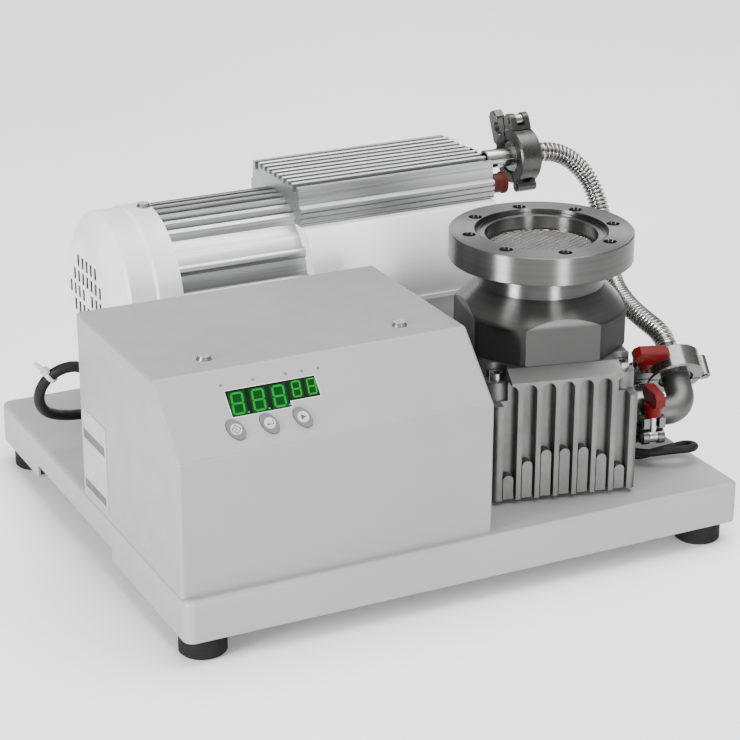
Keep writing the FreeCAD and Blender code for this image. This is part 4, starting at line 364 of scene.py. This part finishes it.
PALE = moulded("pale_print", (0.36, 0.36, 0.36), roughness=0.5)
EDGE = moulded("window_border", (0.55, 0.50, 0.47), roughness=0.5)
DARK = moulded("dark_print", (0.035, 0.035, 0.04), roughness=0.5)
UNLIT = moulded("unlit_dots", (0.03, 0.12, 0.06), roughness=0.5)
CASTING = blasted("blasted_casting", (0.125, 0.125, 0.1235), roughness=0.5)
ROUGH = blasted("sand_casting", (0.115, 0.115, 0.113), roughness=0.5, grain=900, depth=0.5)
CLAMP = blasted("bright_casting", (0.14, 0.14, 0.138), roughness=0.2, grain=900, depth=0.12)
GUNMETAL = blasted("dark_casting", (0.07, 0.069, 0.068), roughness=0.28, grain=800, depth=0.2)
IRON = blasted("laminations", (0.16, 0.16, 0.165), roughness=0.45)
TURNED = turned("turned_steel", (0.112, 0.1115, 0.1105), roughness=0.33, milled=MILLED_TOP / 1000)
# Painted shade: the rotor alloy is coloured darker than aluminium, for the deep shade inside the pump behind
# the screen
ROTOR_PAINTED_SHADE = turned("rotor_alloy_painted_shade", (0.09, 0.09, 0.09), roughness=0.3)
EXTRUDED = drawn("extruded_alloy", (0.40, 0.403, 0.407), roughness=0.38, stretch=(0.01, 1, 1))
TUBE = drawn("drawn_tube", (0.42, 0.418, 0.415), roughness=0.2, stretch=(0.02, 1, 1))
MACHINED = bright("machined_alloy", (0.44, 0.443, 0.447), roughness=0.3)
STEEL = bright("bright_steel", (0.42, 0.415, 0.41), roughness=0.18)
BELLOWS = bright("bellows_steel", (0.34, 0.338, 0.333), roughness=0.2)
ZINC = bright("plated_screws", (0.38, 0.38, 0.38), roughness=0.2)
COPPER = windings()
CIRCUIT = circuit()
GLASS = display_glass()
DIGIT = lit("lit_segments", (0.0, 0.10, 0.012), glow=(0.001, 0.33, 0.025), strength=0.55)
SMALL_DIGIT = lit("lit_small_segments", (0.008, 0.12, 0.01), glow=(0.02, 0.32, 0.02), strength=0.62)
GLOW = lit("display_ground", (0.0, 0.02, 0.002), glow=(0.0, 0.045, 0.002), strength=0.9)

FINISHES = {
    "base_tray": COAT, "controller_cover": COVER, "controller_back_panel": REAR, "rubber_feet": RUBBER,
    "pump_feet": RUBBER, "tray_screws": ZINC, "cross_head_screws": ZINC, "head_screws": ZINC,
    "turbo_cap_screws": ZINC, "button_left": KEYS, "button_middle": KEYS, "button_right": KEYS,
    "display_window": GLASS, "display_board": CIRCUIT, "controller_board": CIRCUIT,
    "power_supply": MACHINED, "mains_inlet": BLACK, "power_rocker": BLACK, "pump_cable_plug": BLACK,
    "turbo_base_plate": CASTING, "turbo_base": CASTING, "turbo_envelope": TURNED, "inlet_screen": STEEL,
    "stator_stack": ROTOR_PAINTED_SHADE, "drag_sleeve": ROTOR_PAINTED_SHADE, "turbo_motor_stator": COPPER, "turbo_bearings": STEEL,
    "turbo_rotor": ROTOR_PAINTED_SHADE, "rotor_shaft": STEEL, "vent_knob": BLACK, "backing_port": STEEL, "elbow": ROUGH,
    "centring_rings": STEEL, "port_clamp": CLAMP, "elbow_clamp": CLAMP, "inlet_clamp": GUNMETAL,
    "port_bolt": STEEL, "elbow_bolt": STEEL, "inlet_bolt": STEEL, "port_wing_nut": RED,
    "elbow_wing_nut": RED, "inlet_wing_nut": GUNMETAL, "inlet_tube": TUBE, "crankcase": WHITE,
    "head_block": EXTRUDED, "exhaust_cap": BROWN, "motor_housing": EXTRUDED, "pump_motor_stator": IRON,
    "motor_end_plate": MACHINED, "fan_cowl": COWL, "cooling_fan": BLACK, "crankshaft": STEEL,
    "shaft_bearings": STEEL, "connecting_rod_left": MACHINED, "connecting_rod_right": MACHINED,
    "diaphragms": RUBBER, "bellows_hose": BELLOWS, "transfer_hose": RUBBER, "pump_cable": CABLE,
    "turbo_cable": CABLE,
}
for node, item in NODES.items():
    item.data.materials.clear()
    item.data.materials.append(FINISHES[node])


# Mesh helpers

def piece(name, made, material, body="station", crisp=35):
    """A finished object that moves with a body: smooth up to the crisp angle, or flat without one."""
    mesh = bpy.data.meshes.new(name)
    bmesh.ops.recalc_face_normals(made, faces=made.faces)
    made.to_mesh(mesh)
    made.free()
    if crisp:
        mesh.set_sharp_from_angle(angle=math.radians(crisp))
    mesh.materials.append(material)
    item = bpy.data.objects.new(name, mesh)
    bpy.context.scene.collection.objects.link(item)
    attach(item, body)
    return item


def upright(way):
    """The turn that brings Z to a direction."""
    return way.to_track_quat("Z", "Y").to_matrix().to_4x4()


def route_curve(name, points, radius):
    """A cord's centreline: one spline with the CAD route's points as its control points."""
    data = bpy.data.curves.new(name, "CURVE")
    data.dimensions = "3D"
    data.bevel_depth = radius
    data.bevel_resolution = 5
    data.resolution_u = 12
    data.use_fill_caps = True
    spline = data.splines.new("NURBS")
    spline.points.add(len(points) - 1)
    for place, point in zip(spline.points, points):
        place.co = (*mm(*point), 1)
    spline.order_u = 3
    spline.use_endpoint_u = True
    item = bpy.data.objects.new(name, data)
    bpy.context.scene.collection.objects.link(item)
    return item


def centreline(points):
    """Points along the cord's own spline, in order from its start."""
    line = route_curve("line", points, 0.0)
    mesh = bpy.data.meshes.new_from_object(line)
    spots = [vertex.co.copy() for vertex in mesh.vertices]
    bpy.data.objects.remove(line)
    return spots


def along(spots, pitch):
    """Evenly spaced stations on a line of points, each with its direction, and the line's length."""
    lengths = [0.0]
    for first, second in zip(spots, spots[1:]):
        lengths.append(lengths[-1] + (second - first).length)
    count = max(2, round(lengths[-1] / pitch))
    found = []
    part = 0
    for step in range(count + 1):
        reach = lengths[-1] * step / count
        while part < len(spots) - 2 and lengths[part + 1] < reach:
            part += 1
        run = lengths[part + 1] - lengths[part]
        share = (reach - lengths[part]) / run if run else 0
        place = spots[part].lerp(spots[part + 1], share)
        found.append((place, (spots[part + 1] - spots[part]).normalized()))
    return found, lengths[-1]


def join_rings(made, pairs, sides):
    """Faces between pairs of rings of corners."""
    for low, high in pairs:
        for n in range(sides):
            made.faces.new((low[n], low[(n + 1) % sides], high[(n + 1) % sides], high[n]))


def swept(made, stations, radii, sides=24):
    """Rings round a line's stations, joined into a closed skin. The radii are in millimetres."""
    side = stations[0][1].orthogonal().normalized()
    before = stations[0][1]
    rings = []
    for (place, way), radius in zip(stations, radii):
        side = (before.rotation_difference(way) @ side).normalized()
        before = way
        other = way.cross(side)
        reach = radius / 1000
        rings.append([made.verts.new(place + (side * math.cos(turn) + other * math.sin(turn)) * reach)
                      for turn in (2 * math.pi * n / sides for n in range(sides))])
    join_rings(made, zip(rings, rings[1:]), sides)
    made.faces.new(rings[0][::-1])
    made.faces.new(rings[-1])


def lathe(base, way, section, sides):
    """A closed section of (radius, height) corners in millimetres, turned about an axis."""
    made = bmesh.new()
    place = Matrix.Translation(base) @ upright(way)
    rings = []
    for radius, height in section:
        rings.append([made.verts.new(place @ mm(radius * math.cos(turn), radius * math.sin(turn), height))
                      for turn in (2 * math.pi * n / sides for n in range(sides))])
    join_rings(made, zip(rings, rings[1:] + rings[:1]), sides)
    return made


def block(made, place, size):
    """A box about a place."""
    bmesh.ops.create_cube(made, size=1, matrix=place @ Matrix.Diagonal((*size, 1)))


# The bellows hose: a corrugated tube between two flanged cuffs

HOSE = [(177, 75, 192.8), (186, 75, 192.8), (202, 74, 185.5), (213.5, 69, 171.5), (217, 58.5, 153.5),
        (212.5, 43.5, 136.5), (204.5, 24.5, 122.5), (197, 3.5, 114), (193, -18.5, 109.5), (192, -39, 106.8),
        (193.94, -60.77, 102.55), (192.42, -67.49, 96.76)]
HOSE_PITCH = 3.0
HOSE_STEPS = 10
HOSE_CREST = 6.8
HOSE_ROOT = 4.3
HOSE_BLUNT = 0.75
HOSE_END = 1.2
HOSE_END_RADIUS = 6.7
CUFF_SIDES = 40
CUFF_BORE = 4.0
CUFF_RIM = 15.0
CUFF_RIM_LOW = 2.0
CUFF_RIM_HIGH = 5.0
CUFF_EDGE = 0.3
CUFF_NECK = 6.7
CUFF_NECK_LOW = 8.0
CUFF_NECK_HIGH = 16.3
CUFF_SLOPE = [(10.0, 6.34), (7.8, 7.0)]
CUFF_RIDGES = 3
CUFF_RIDGE_PITCH = 2.8
# One ridge of a cuff's neck, as radii with their heights
CUFF_RIDGE = [(4.6, 0.1), (6.2, 0.7), (CUFF_NECK, 1.4), (6.2, 2.1), (4.6, 2.7)]


def corrugated():
    """The bellows: blunt crests and deep roots along the hose, with a plain collar at each end."""
    spots = centreline(HOSE)
    stations, length = along(spots, HOSE_PITCH / 1000 / HOSE_STEPS)
    radii = []
    for n in range(len(stations)):
        reach = length * n / (len(stations) - 1)
        from_end = min(reach, length - reach) * 1000
        wave = abs(math.sin(math.pi * n / HOSE_STEPS)) ** HOSE_BLUNT
        radii.append(HOSE_END_RADIUS if from_end < HOSE_END else HOSE_ROOT + (HOSE_CREST - HOSE_ROOT) * wave)
    made = bmesh.new()
    swept(made, stations, radii)
    hose = piece("hose_bellows", made, BELLOWS, crisp=180)
    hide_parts("bellows_hose")


def cuff(name, base, way):
    """A flanged cuff: its rim with a sloping back, and the tube that the bellows is welded to."""
    section = [(CUFF_BORE, CUFF_RIM_LOW), (CUFF_RIM - CUFF_EDGE, CUFF_RIM_LOW),
               (CUFF_RIM, CUFF_RIM_LOW + CUFF_EDGE), (CUFF_RIM, CUFF_RIM_HIGH), *CUFF_SLOPE,
               (CUFF_NECK, CUFF_NECK_LOW)]
    for ridge in range(CUFF_RIDGES):
        foot = CUFF_NECK_LOW + CUFF_RIDGE_PITCH * ridge
        section += [(radius, foot + height) for radius, height in CUFF_RIDGE]
    section.append((CUFF_BORE, CUFF_NECK_HIGH))
    piece(name, lathe(base, way, section, sides=CUFF_SIDES), STEEL, crisp=25)


corrugated()
cuff("hose_cuff_upper", mm(161, 75, 192.8), Vector((1, 0, 0)))
cuff("hose_cuff_lower", mm(189.72, -79.45, 86.48), Vector((0.1688, 0.7472, 0.6428)).normalized())


# The cables and the rubber hose

TRANSFER = [(134, 116, 187), (142, 116, 187), (150.5, 116, 181.5), (154, 116.5, 169.5),
            (153.5, 117, 155.5), (149, 117, 143.5), (140.5, 117, 138), (132, 117, 138)]
PUMP_LEAD = [(-163, 8.6, 98), (-163, 8.6, 107), (-170, 10.5, 114), (-184, 14, 121), (-198, 20, 114),
             (-203, 29, 98), (-196, 40, 82), (-180, 52, 72), (-160, 62, 66), (-138, 70, 60), (-114, 76, 56),
             (-90, 80, 53), (-66, 83, 52), (-44, 87, 52), (-26, 93, 54), (-16, 97, 62), (-14.5, 99, 71)]
SIDE_RUN = [(0, 44, 92), (0, 58, 92), (3, 72, 89), (13, 84, 79), (28, 86, 65), (42, 77, 53), (50, 62, 46.5),
            (51, 42, 44.4), (50.3, 21, 44.4), (50.5, 2, 44.6), (53, -11, 44.8), (64, -17.5, 45.4),
            (77, -15.5, 47), (88, -15, 48.5), (96, -15, 49.8), (100, -21.5, 51), (96, -28, 52), (88, -28, 52),
            (77, -27, 51.5), (66, -26, 50.5), (57, -18.5, 50.3), (55.3, -4, 50.6), (55.4, 14, 50.2),
            (56.5, 34, 48.5), (56.5, 54, 46.5), (51, 74, 45), (37, 90, 44.6)]
BACK_RUN = [(122, 11, 44.6), (97, 13, 44.5), (70, 12, 44.6), (46, 11.5, 46.5), (26, 13, 52),
            (11, 14.5, 58), (0.5, 11.5, 60.5), (-4, 5, 61), (-4, -1.4, 61)]
TRANSFER_RADIUS = 4.4
PUMP_LEAD_RADIUS = 3.4
TURBO_LEAD_RADIUS = 2.5


def turbo_spot(u, v, z):
    """A point beside the turbo pump, across and away from its axis, in the frame's millimetres."""
    place = TURBO * 1000 + ACROSS * u + AWAY * v
    return (place.x, place.y, z)


TURBO_LEAD = [turbo_spot(*spot) for spot in SIDE_RUN] + BACK_RUN


def cord(name, node, points, radius, material):
    """A cord of the CAD, as a curve along its route."""
    item = route_curve(name, points, radius / 1000)
    item.data.materials.append(material)
    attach(item, "station")
    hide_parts(node)


cord("hose_transfer", "transfer_hose", TRANSFER, TRANSFER_RADIUS, RUBBER)
cord("lead_pump", "pump_cable", PUMP_LEAD, PUMP_LEAD_RADIUS, CABLE)
cord("lead_turbo", "turbo_cable", TURBO_LEAD, TURBO_LEAD_RADIUS, CABLE)


# What sits on the cords: two rings, a ribbed sleeve and a cable tie

RING_INNER = TRANSFER_RADIUS * 0.93
RING_OUTER = TRANSFER_RADIUS + 1.0
RING_LONG = 4.5
RING_EDGE = 0.3
SLEEVE_RIBS = 6
SLEEVE_LONG = 8.5
SLEEVE_FOOT = 5.0
SLEEVE_TIP = PUMP_LEAD_RADIUS + 0.5
SLEEVE_INNER = PUMP_LEAD_RADIUS * 0.9
SLEEVE_GROOVE = 0.6
# Where on a rib's share of the sleeve the rib ends, its groove starts and the groove ends
SLEEVE_STEPS = (0.55, 0.62, 0.97)
TIE_INNER = 3.5
TIE_THICK = 1.1
TIE_WIDE = 2.5
# The tie's head and cut tail: each one's middle over the band's inside, and its size
TIE_BLOCKS = ((1.2, (4.2, 3.6, 4.4)), (5.7, (1.1, 8.0, 2.4)))


def hose_ring(name, base):
    """A short ring round an end of the rubber hose."""
    section = [(RING_INNER, 0), (RING_OUTER - RING_EDGE, 0), (RING_OUTER, RING_EDGE),
               (RING_OUTER, RING_LONG - RING_EDGE), (RING_OUTER - RING_EDGE, RING_LONG),
               (RING_INNER, RING_LONG)]
    piece(name, lathe(base, Vector((1, 0, 0)), section, sides=32), STEEL)


def sleeve(name, base):
    """A ribbed tapered sleeve where a lead leaves its plug."""
    share = SLEEVE_LONG / SLEEVE_RIBS
    rib_end, groove, groove_end = SLEEVE_STEPS
    section = [(SLEEVE_INNER, 0)]
    for n in range(SLEEVE_RIBS):
        outer = SLEEVE_FOOT + (SLEEVE_TIP - SLEEVE_FOOT) * n / SLEEVE_RIBS
        section += [(outer, share * n), (outer, share * (n + rib_end)),
                    (outer - SLEEVE_GROOVE, share * (n + groove)),
                    (outer - SLEEVE_GROOVE, share * (n + groove_end))]
    section.append((SLEEVE_INNER, SLEEVE_LONG))
    piece(name, lathe(base, Vector((0, 0, 1)), section, sides=28), RUBBER)


def tie(name, points, index, tail):
    """A cable tie at a point of a cord's route: a thin closed band, its square head and its cut tail."""
    spots = centreline(points)
    near = min(range(len(spots)), key=lambda n: (spots[n] - mm(*points[index])).length)
    centre = spots[near]
    way = (spots[near + 1] - spots[near - 1]).normalized()
    outer = TIE_INNER + TIE_THICK
    section = [(TIE_INNER, 0), (outer, 0), (outer, TIE_WIDE), (TIE_INNER, TIE_WIDE)]
    made = lathe(centre - way * (TIE_WIDE / 2000), way, section, sides=28)
    side = (tail - tail.dot(way) * way).normalized()
    turn = Matrix((side.cross(way), side, way)).transposed().to_4x4()
    for out, size in TIE_BLOCKS:
        block(made, Matrix.Translation(centre + side * ((TIE_INNER + out) / 1000)) @ turn, mm(*size))
    piece(name, made, NYLON)


hose_ring("transfer_ring_upper", mm(134.2, 116, 187))
hose_ring("transfer_ring_lower", mm(132.2, 117, 138))
sleeve("lead_pump_relief", mm(-163, 8.6, 97.8))
tie("tie_pump_lead", PUMP_LEAD, 4, Vector((-0.4, -0.1, 1)))


# Plugs that close the red nuts' bores over their bolts

PLUG_RADIUS = 2.9
PLUG_HIGH = 1.2
PLUG_SUNK = 0.05


def nut_plug(name, node):
    """A round plug just under a nut's top, on its joint's axis."""
    joint = next(item for item in frame["record"]["behaviour"]["joints"] if item["name"] == name + "_turn")
    foot, way = Vector(joint["pos_m"]), Vector(joint["axis"])
    top = max((vertex.co - foot).dot(way) for vertex in NODES[node].data.vertices)
    middle = foot + way * (top - (PLUG_HIGH / 2 + PLUG_SUNK) / 1000)
    radius = PLUG_RADIUS / 1000
    made = bmesh.new()
    bmesh.ops.create_cone(made, cap_ends=True, segments=32, radius1=radius, radius2=radius,
                          depth=PLUG_HIGH / 1000, matrix=Matrix.Translation(middle) @ upright(way))
    piece(name + "_plug", made, RED, name)


nut_plug("port_nut", "port_wing_nut")
nut_plug("elbow_nut", "elbow_wing_nut")


# The inlet's protective screen: woven wire in a flat ring

SCREEN_TOP = 184.8
SCREEN_RADIUS = 34.3
SCREEN_PITCH = 2.5
SCREEN_TURN = 31
SCREEN_DEPTH = 0.3
SCREEN_WIRE = 0.8
SCREEN_FREE = 1.2
SCREEN_RING_DEPTH = 1.0
SCREEN_RING = [(32.2, 0), (34.6, 0), (34.6, 1.2), (32.2, 1.2)]


def screen_wires():
    """Squares of crossed wires, turned a little, as far as the ring."""
    made = bmesh.new()
    count = int(2 * SCREEN_RADIUS / SCREEN_PITCH) + 2
    half = count * SCREEN_PITCH / 2
    centre = TURBO + mm(0, 0, SCREEN_TOP - SCREEN_DEPTH)
    turn = Matrix.Rotation(math.radians(SCREEN_TURN), 4, "Z")
    corners = {}

    def corner(i, j):
        if (i, j) not in corners:
            spot = turn @ mm(i * SCREEN_PITCH - half, j * SCREEN_PITCH - half, 0)
            corners[i, j] = made.verts.new(centre + spot)
        return corners[i, j]

    for i in range(count):
        for j in range(count):
            middle = math.hypot((i + 0.5) * SCREEN_PITCH - half, (j + 0.5) * SCREEN_PITCH - half)
            if middle < SCREEN_RADIUS - SCREEN_FREE:
                made.faces.new((corner(i, j), corner(i + 1, j), corner(i + 1, j + 1), corner(i, j + 1)))
    item = piece("screen_mesh", made, STEEL, crisp=None)
    wire = item.modifiers.new("wire", "WIREFRAME")
    wire.thickness = SCREEN_WIRE / 1000
    wire.use_boundary = True
    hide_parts("inlet_screen")


screen_wires()
ring_foot = TURBO + mm(0, 0, SCREEN_TOP - SCREEN_RING_DEPTH)
piece("screen_ring", lathe(ring_foot, Vector((0, 0, 1)), SCREEN_RING, sides=72), STEEL)


# The display: lit figures over a dim green ground, with places in the sloping panel's coordinates

DIGIT_TALL = 12.3
DIGIT_WIDE = 6.5
DIGIT_LEAN = math.tan(math.radians(7.5))
BIG_FIGURES = [(40.9, 23.3), (53.5, 23.3), (66.0, 23.3)]
SMALL_FIGURES = [(78.5, 27.2), (88.0, 27.2)]
SMALL_SIZE = 0.74
STROKE = 1.25
SMALL_STROKE = STROKE * 0.66
STROKE_GAP = 0.62
BARS = [((0, 0), (1, 0)), ((0, 0.5), (1, 0.5)), ((0, 1), (1, 1)), ((0, 0), (0, 0.5)), ((0, 0.5), (0, 1)),
        ((1, 0), (1, 0.5)), ((1, 0.5), (1, 1))]
GROUND_WIDER = 1.6
GROUND_TALLER = 0.6
DOT_RADIUS = 0.6
DOT_BESIDE = 2.2
DOT_LOWER = 0.1
WINDOW_LEFT, WINDOW_RIGHT = 39.3, 94.5
WINDOW_LOW, WINDOW_HIGH = 21.7, 37.9
WINDOW_STEP_U, WINDOW_STEP_V = 75.5, 25.2
WINDOW_BORDER = 0.4
# Each layer's foot over the panel and its thickness
GROUND_LAYER = (-0.11, 0.05)
FIGURE_LAYER = (-0.08, 0.06)
EDGE_LAYER = (0.0, 0.06)
LAMP_LAYER = (-0.3, 0.34)
DISC_LAYER = (0.88, 0.08)
SIGN_LAYER = (0.95, 0.05)


def flat_shape(made, outline, layer):
    """A thin raised shape on the panel, from its outline in panel coordinates."""
    lift, thick = layer
    top = [made.verts.new(panel(u, v, lift + thick)) for u, v in outline]
    low = [made.verts.new(panel(u, v, lift)) for u, v in outline]
    made.faces.new(top)
    made.faces.new(low[::-1])
    for n in range(len(outline)):
        after = (n + 1) % len(outline)
        made.faces.new((low[n], low[after], top[after], top[n]))


def flat_piece(name, outlines, layer, material, body="station"):
    """One piece of thin raised shapes."""
    made = bmesh.new()
    for outline in outlines:
        flat_shape(made, outline, layer)
    piece(name, made, material, body, crisp=None)


def circle(u, v, radius, count):
    """A round outline of evenly spaced corners."""
    return [(u + radius * math.cos(turn), v + radius * math.sin(turn))
            for turn in (2 * math.pi * n / count for n in range(count))]


def direction(first, second):
    """Two corners as vectors, with the way from one to the other and the way across."""
    a, b = Vector(first), Vector(second)
    way = (b - a).normalized()
    return a, b, way, Vector((-way.y, way.x))


def segment(first, second, stroke):
    """One bar of a figure: a hexagon between two corners."""
    a, b, way, across = direction(first, second)
    side = across * stroke / 2
    a += way * stroke * STROKE_GAP
    b -= way * stroke * STROKE_GAP
    tip = way * stroke / 2
    return [a - tip, a + side, b + side, b + tip, b - side, a - side]


def figures(name, places, size, stroke, material):
    """Figures of seven bars each, over a dimly lit ground of their own."""
    wide = DIGIT_WIDE * size
    tall = DIGIT_TALL * size
    lean = tall * DIGIT_LEAN
    out = GROUND_WIDER * size
    rise = out * GROUND_TALLER
    bars = [segment(*((u + a * wide + b * lean, v + b * tall) for a, b in ends), stroke)
            for u, v in places for ends in BARS]
    grounds = [[(u - out, v - rise), (u + wide + out, v - rise), (u + wide + out + lean, v + tall + rise),
                (u - out + lean, v + tall + rise)] for u, v in places]
    flat_piece(name + "_bars", bars, FIGURE_LAYER, material)
    flat_piece(name + "_ground", grounds, GROUND_LAYER, GLOW)


def window_outline(out):
    """The display window's corners, moved outwards."""
    left, right = WINDOW_LEFT - out, WINDOW_RIGHT + out
    low, high = WINDOW_LOW - out, WINDOW_HIGH + out
    step_u, step_v = WINDOW_STEP_U + out, WINDOW_STEP_V - out
    return [(left, low), (step_u, low), (step_u, step_v), (right, step_v), (right, high), (left, high)]


def window_edge():
    """The light edge that the panel's film leaves round the window."""
    inner, outer = window_outline(0), window_outline(WINDOW_BORDER)
    strips = [[inner[n - 1], inner[n], outer[n], outer[n - 1]] for n in range(len(inner))]
    flat_piece("window_edge", strips, EDGE_LAYER, EDGE)


figures("display_big", BIG_FIGURES, 1.0, STROKE, DIGIT)
figures("display_small", SMALL_FIGURES, SMALL_SIZE, SMALL_STROKE, SMALL_DIGIT)
dots = [circle(u + DIGIT_WIDE + DOT_BESIDE, v - DOT_LOWER, DOT_RADIUS, count=16) for u, v in BIG_FIGURES]
flat_piece("display_dots", dots, FIGURE_LAYER, UNLIT)
window_edge()


# The keys: a pale disc on each with a dark sign

DISC_RADIUS = 3.4
SIGN_WIDTH = 0.5


def bar(first, second):
    """One stroke of a sign, with square ends."""
    a, b, way, across = direction(first, second)
    side = across * SIGN_WIDTH / 2
    end = way * SIGN_WIDTH / 2
    return [a - side - end, b - side + end, b + side + end, a + side - end]


DIAMOND = [(0, -2.6), (2.6, 0), (0, 2.6), (-2.6, 0)]
SIGNS = {
    "key_left": [bar(a, b) for a, b in zip(DIAMOND, DIAMOND[1:] + DIAMOND[:1])]
    + [bar((-0.8, 0.9), (0.5, 0.0)), bar((0.5, 0.0), (-0.8, -0.9))],
    "key_middle": [bar((2.0, 1.6), (2.0, -0.7)), bar((2.0, -0.7), (-0.6, -0.7)),
                   [(-2.0, -0.7), (-0.5, -1.7), (-0.5, 0.3)]],
    "key_right": [[(-1.3, -1.8), (2.0, 0), (-1.3, 1.8)]],
}
for key_u, (key, sign) in zip(KEY_U, SIGNS.items()):
    disc = circle(key_u, KEY_V, DISC_RADIUS, count=40)
    strokes = [[(key_u + x, KEY_V + y) for x, y in outline] for outline in sign]
    flat_piece(key + "_face", [disc], DISC_LAYER, PALE, key)
    flat_piece(key + "_sign", strokes, SIGN_LAYER, DARK, key)


# The lamps' lenses over the window

LAMPS = (38.3, 57.95, 77.9, 88.1, 98.2)
LAMP_V = 41.8
LAMP_RADIUS = 0.55

lenses = [circle(u, LAMP_V, LAMP_RADIUS, count=24) for u in LAMPS]
flat_piece("lamp_lenses", lenses, LAMP_LAYER, KEYS)


# A bare rating plate on the controller's left side, with two plain bands

PLATE_Y = (-44.0, -4.0)
PLATE_Z = (47.0, 100.0)
PLATE_THICK = 0.25
BANDS_Y = (-41.0, -5.0)
BANDS_Z = ((81.0, 87.0), (48.5, 54.0))
BANDS_THICK = 0.3


def side_sheets(name, y_range, z_ranges, thick, material):
    """Thin sheets on the controller's left side."""
    made = bmesh.new()
    for z_range in z_ranges:
        low = mm(COVER_LEFT - thick, y_range[0], z_range[0])
        high = mm(COVER_LEFT + thick, y_range[1], z_range[1])
        block(made, Matrix.Translation((low + high) / 2), high - low)
    piece(name, made, material, crisp=None)


side_sheets("blank_plate", PLATE_Y, (PLATE_Z,), PLATE_THICK, LABEL)
side_sheets("plate_bands", BANDS_Y, BANDS_Z, BANDS_THICK, BAND)


# Camera, floor and light

CAMERA_LENS = 110.38
CAMERA_SENSOR = 36
CAMERA_PLACE = mm(-595.76, -1213.15, 624.90)
CAMERA_TARGET = mm(10.55, 0, 88.2)
CAMERA_ROLL = 0.16
FLOOR_REACH = 12.0
FLOOR_TONES = ((0.91, 0.91, 0.91), (0.93, 0.93, 0.93))
# Where the studio's walls start and end, from the horizon up, with their greys
WALLS = ((0.05, 0.22), (0.8, 1.0))
# Each softbox's place, target, width and height in metres, and its power
SOFTBOXES = {
    "key_light": ((0.35, -0.1, 1.9), (0, 0, 0.05), 1.8, 1.6, 66),
    "front_strip": ((-0.05, -2.2, 0.36), (0.09, -0.08, 0.1), 0.4, 0.62, 50),
    "back_panel": ((0.9, 1.8, 0.6), (0, 0, 0.15), 2.4, 0.9, 12),
    "left_strip": ((-2.05, -0.6, 0.42), (0.09, -0.08, 0.2), 0.52, 0.8, 98),
}


def aimed(name, data, place, target, roll=0.0):
    """A camera or light that looks from a place at a target."""
    item = bpy.data.objects.new(name, data)
    bpy.context.scene.collection.objects.link(item)
    item.location = place
    item.rotation_mode = "QUATERNION"
    level = (Vector(target) - Vector(place)).to_track_quat("-Z", "Y")
    item.rotation_quaternion = level @ Matrix.Rotation(math.radians(roll), 3, "Z").to_quaternion()
    return item


def camera():
    data = bpy.data.cameras.new("camera")
    data.lens = CAMERA_LENS
    data.sensor_width = CAMERA_SENSOR
    bpy.context.scene.camera = aimed("camera", data, CAMERA_PLACE, CAMERA_TARGET, CAMERA_ROLL)


def floor():
    made = Shader("floor_paper", (0.92, 0.92, 0.92), 0.0, 0.7)
    made.tones(made.noise(scale=2, detail=2), *FLOOR_TONES)
    mesh = bpy.data.meshes.new("floor")
    corners = [(FLOOR_REACH * x, FLOOR_REACH * y, 0) for x, y in ((-1, -1), (1, -1), (1, 1), (-1, 1))]
    mesh.from_pydata(corners, [], [(0, 1, 2, 3)])
    mesh.materials.append(made.material)
    item = bpy.data.objects.new("floor", mesh)
    bpy.context.scene.collection.objects.link(item)


def softbox(name, place, target, width, height, power):
    data = bpy.data.lights.new(name, "AREA")
    data.shape = "RECTANGLE"
    data.size = width
    data.size_y = height
    data.energy = power
    aimed(name, data, place, target)


def studio():
    """Grey walls that get lighter upwards."""
    world = bpy.data.worlds.new("studio")
    world.use_nodes = True
    bpy.context.scene.world = world
    tree = world.node_tree
    where = tree.nodes.new("ShaderNodeTexCoord")
    apart = tree.nodes.new("ShaderNodeSeparateXYZ")
    ramp = tree.nodes.new("ShaderNodeValToRGB")
    for stop, (height, grey) in zip(ramp.color_ramp.elements, WALLS):
        stop.position = height
        stop.color = (grey, grey, grey, 1)
    tree.links.new(where.outputs["Generated"], apart.inputs[0])
    tree.links.new(apart.outputs["Z"], ramp.inputs[0])
    tree.links.new(ramp.outputs[0], tree.nodes["Background"].inputs["Color"])


camera()
floor()
studio()
for light, setting in SOFTBOXES.items():
    softbox(light, *setting)
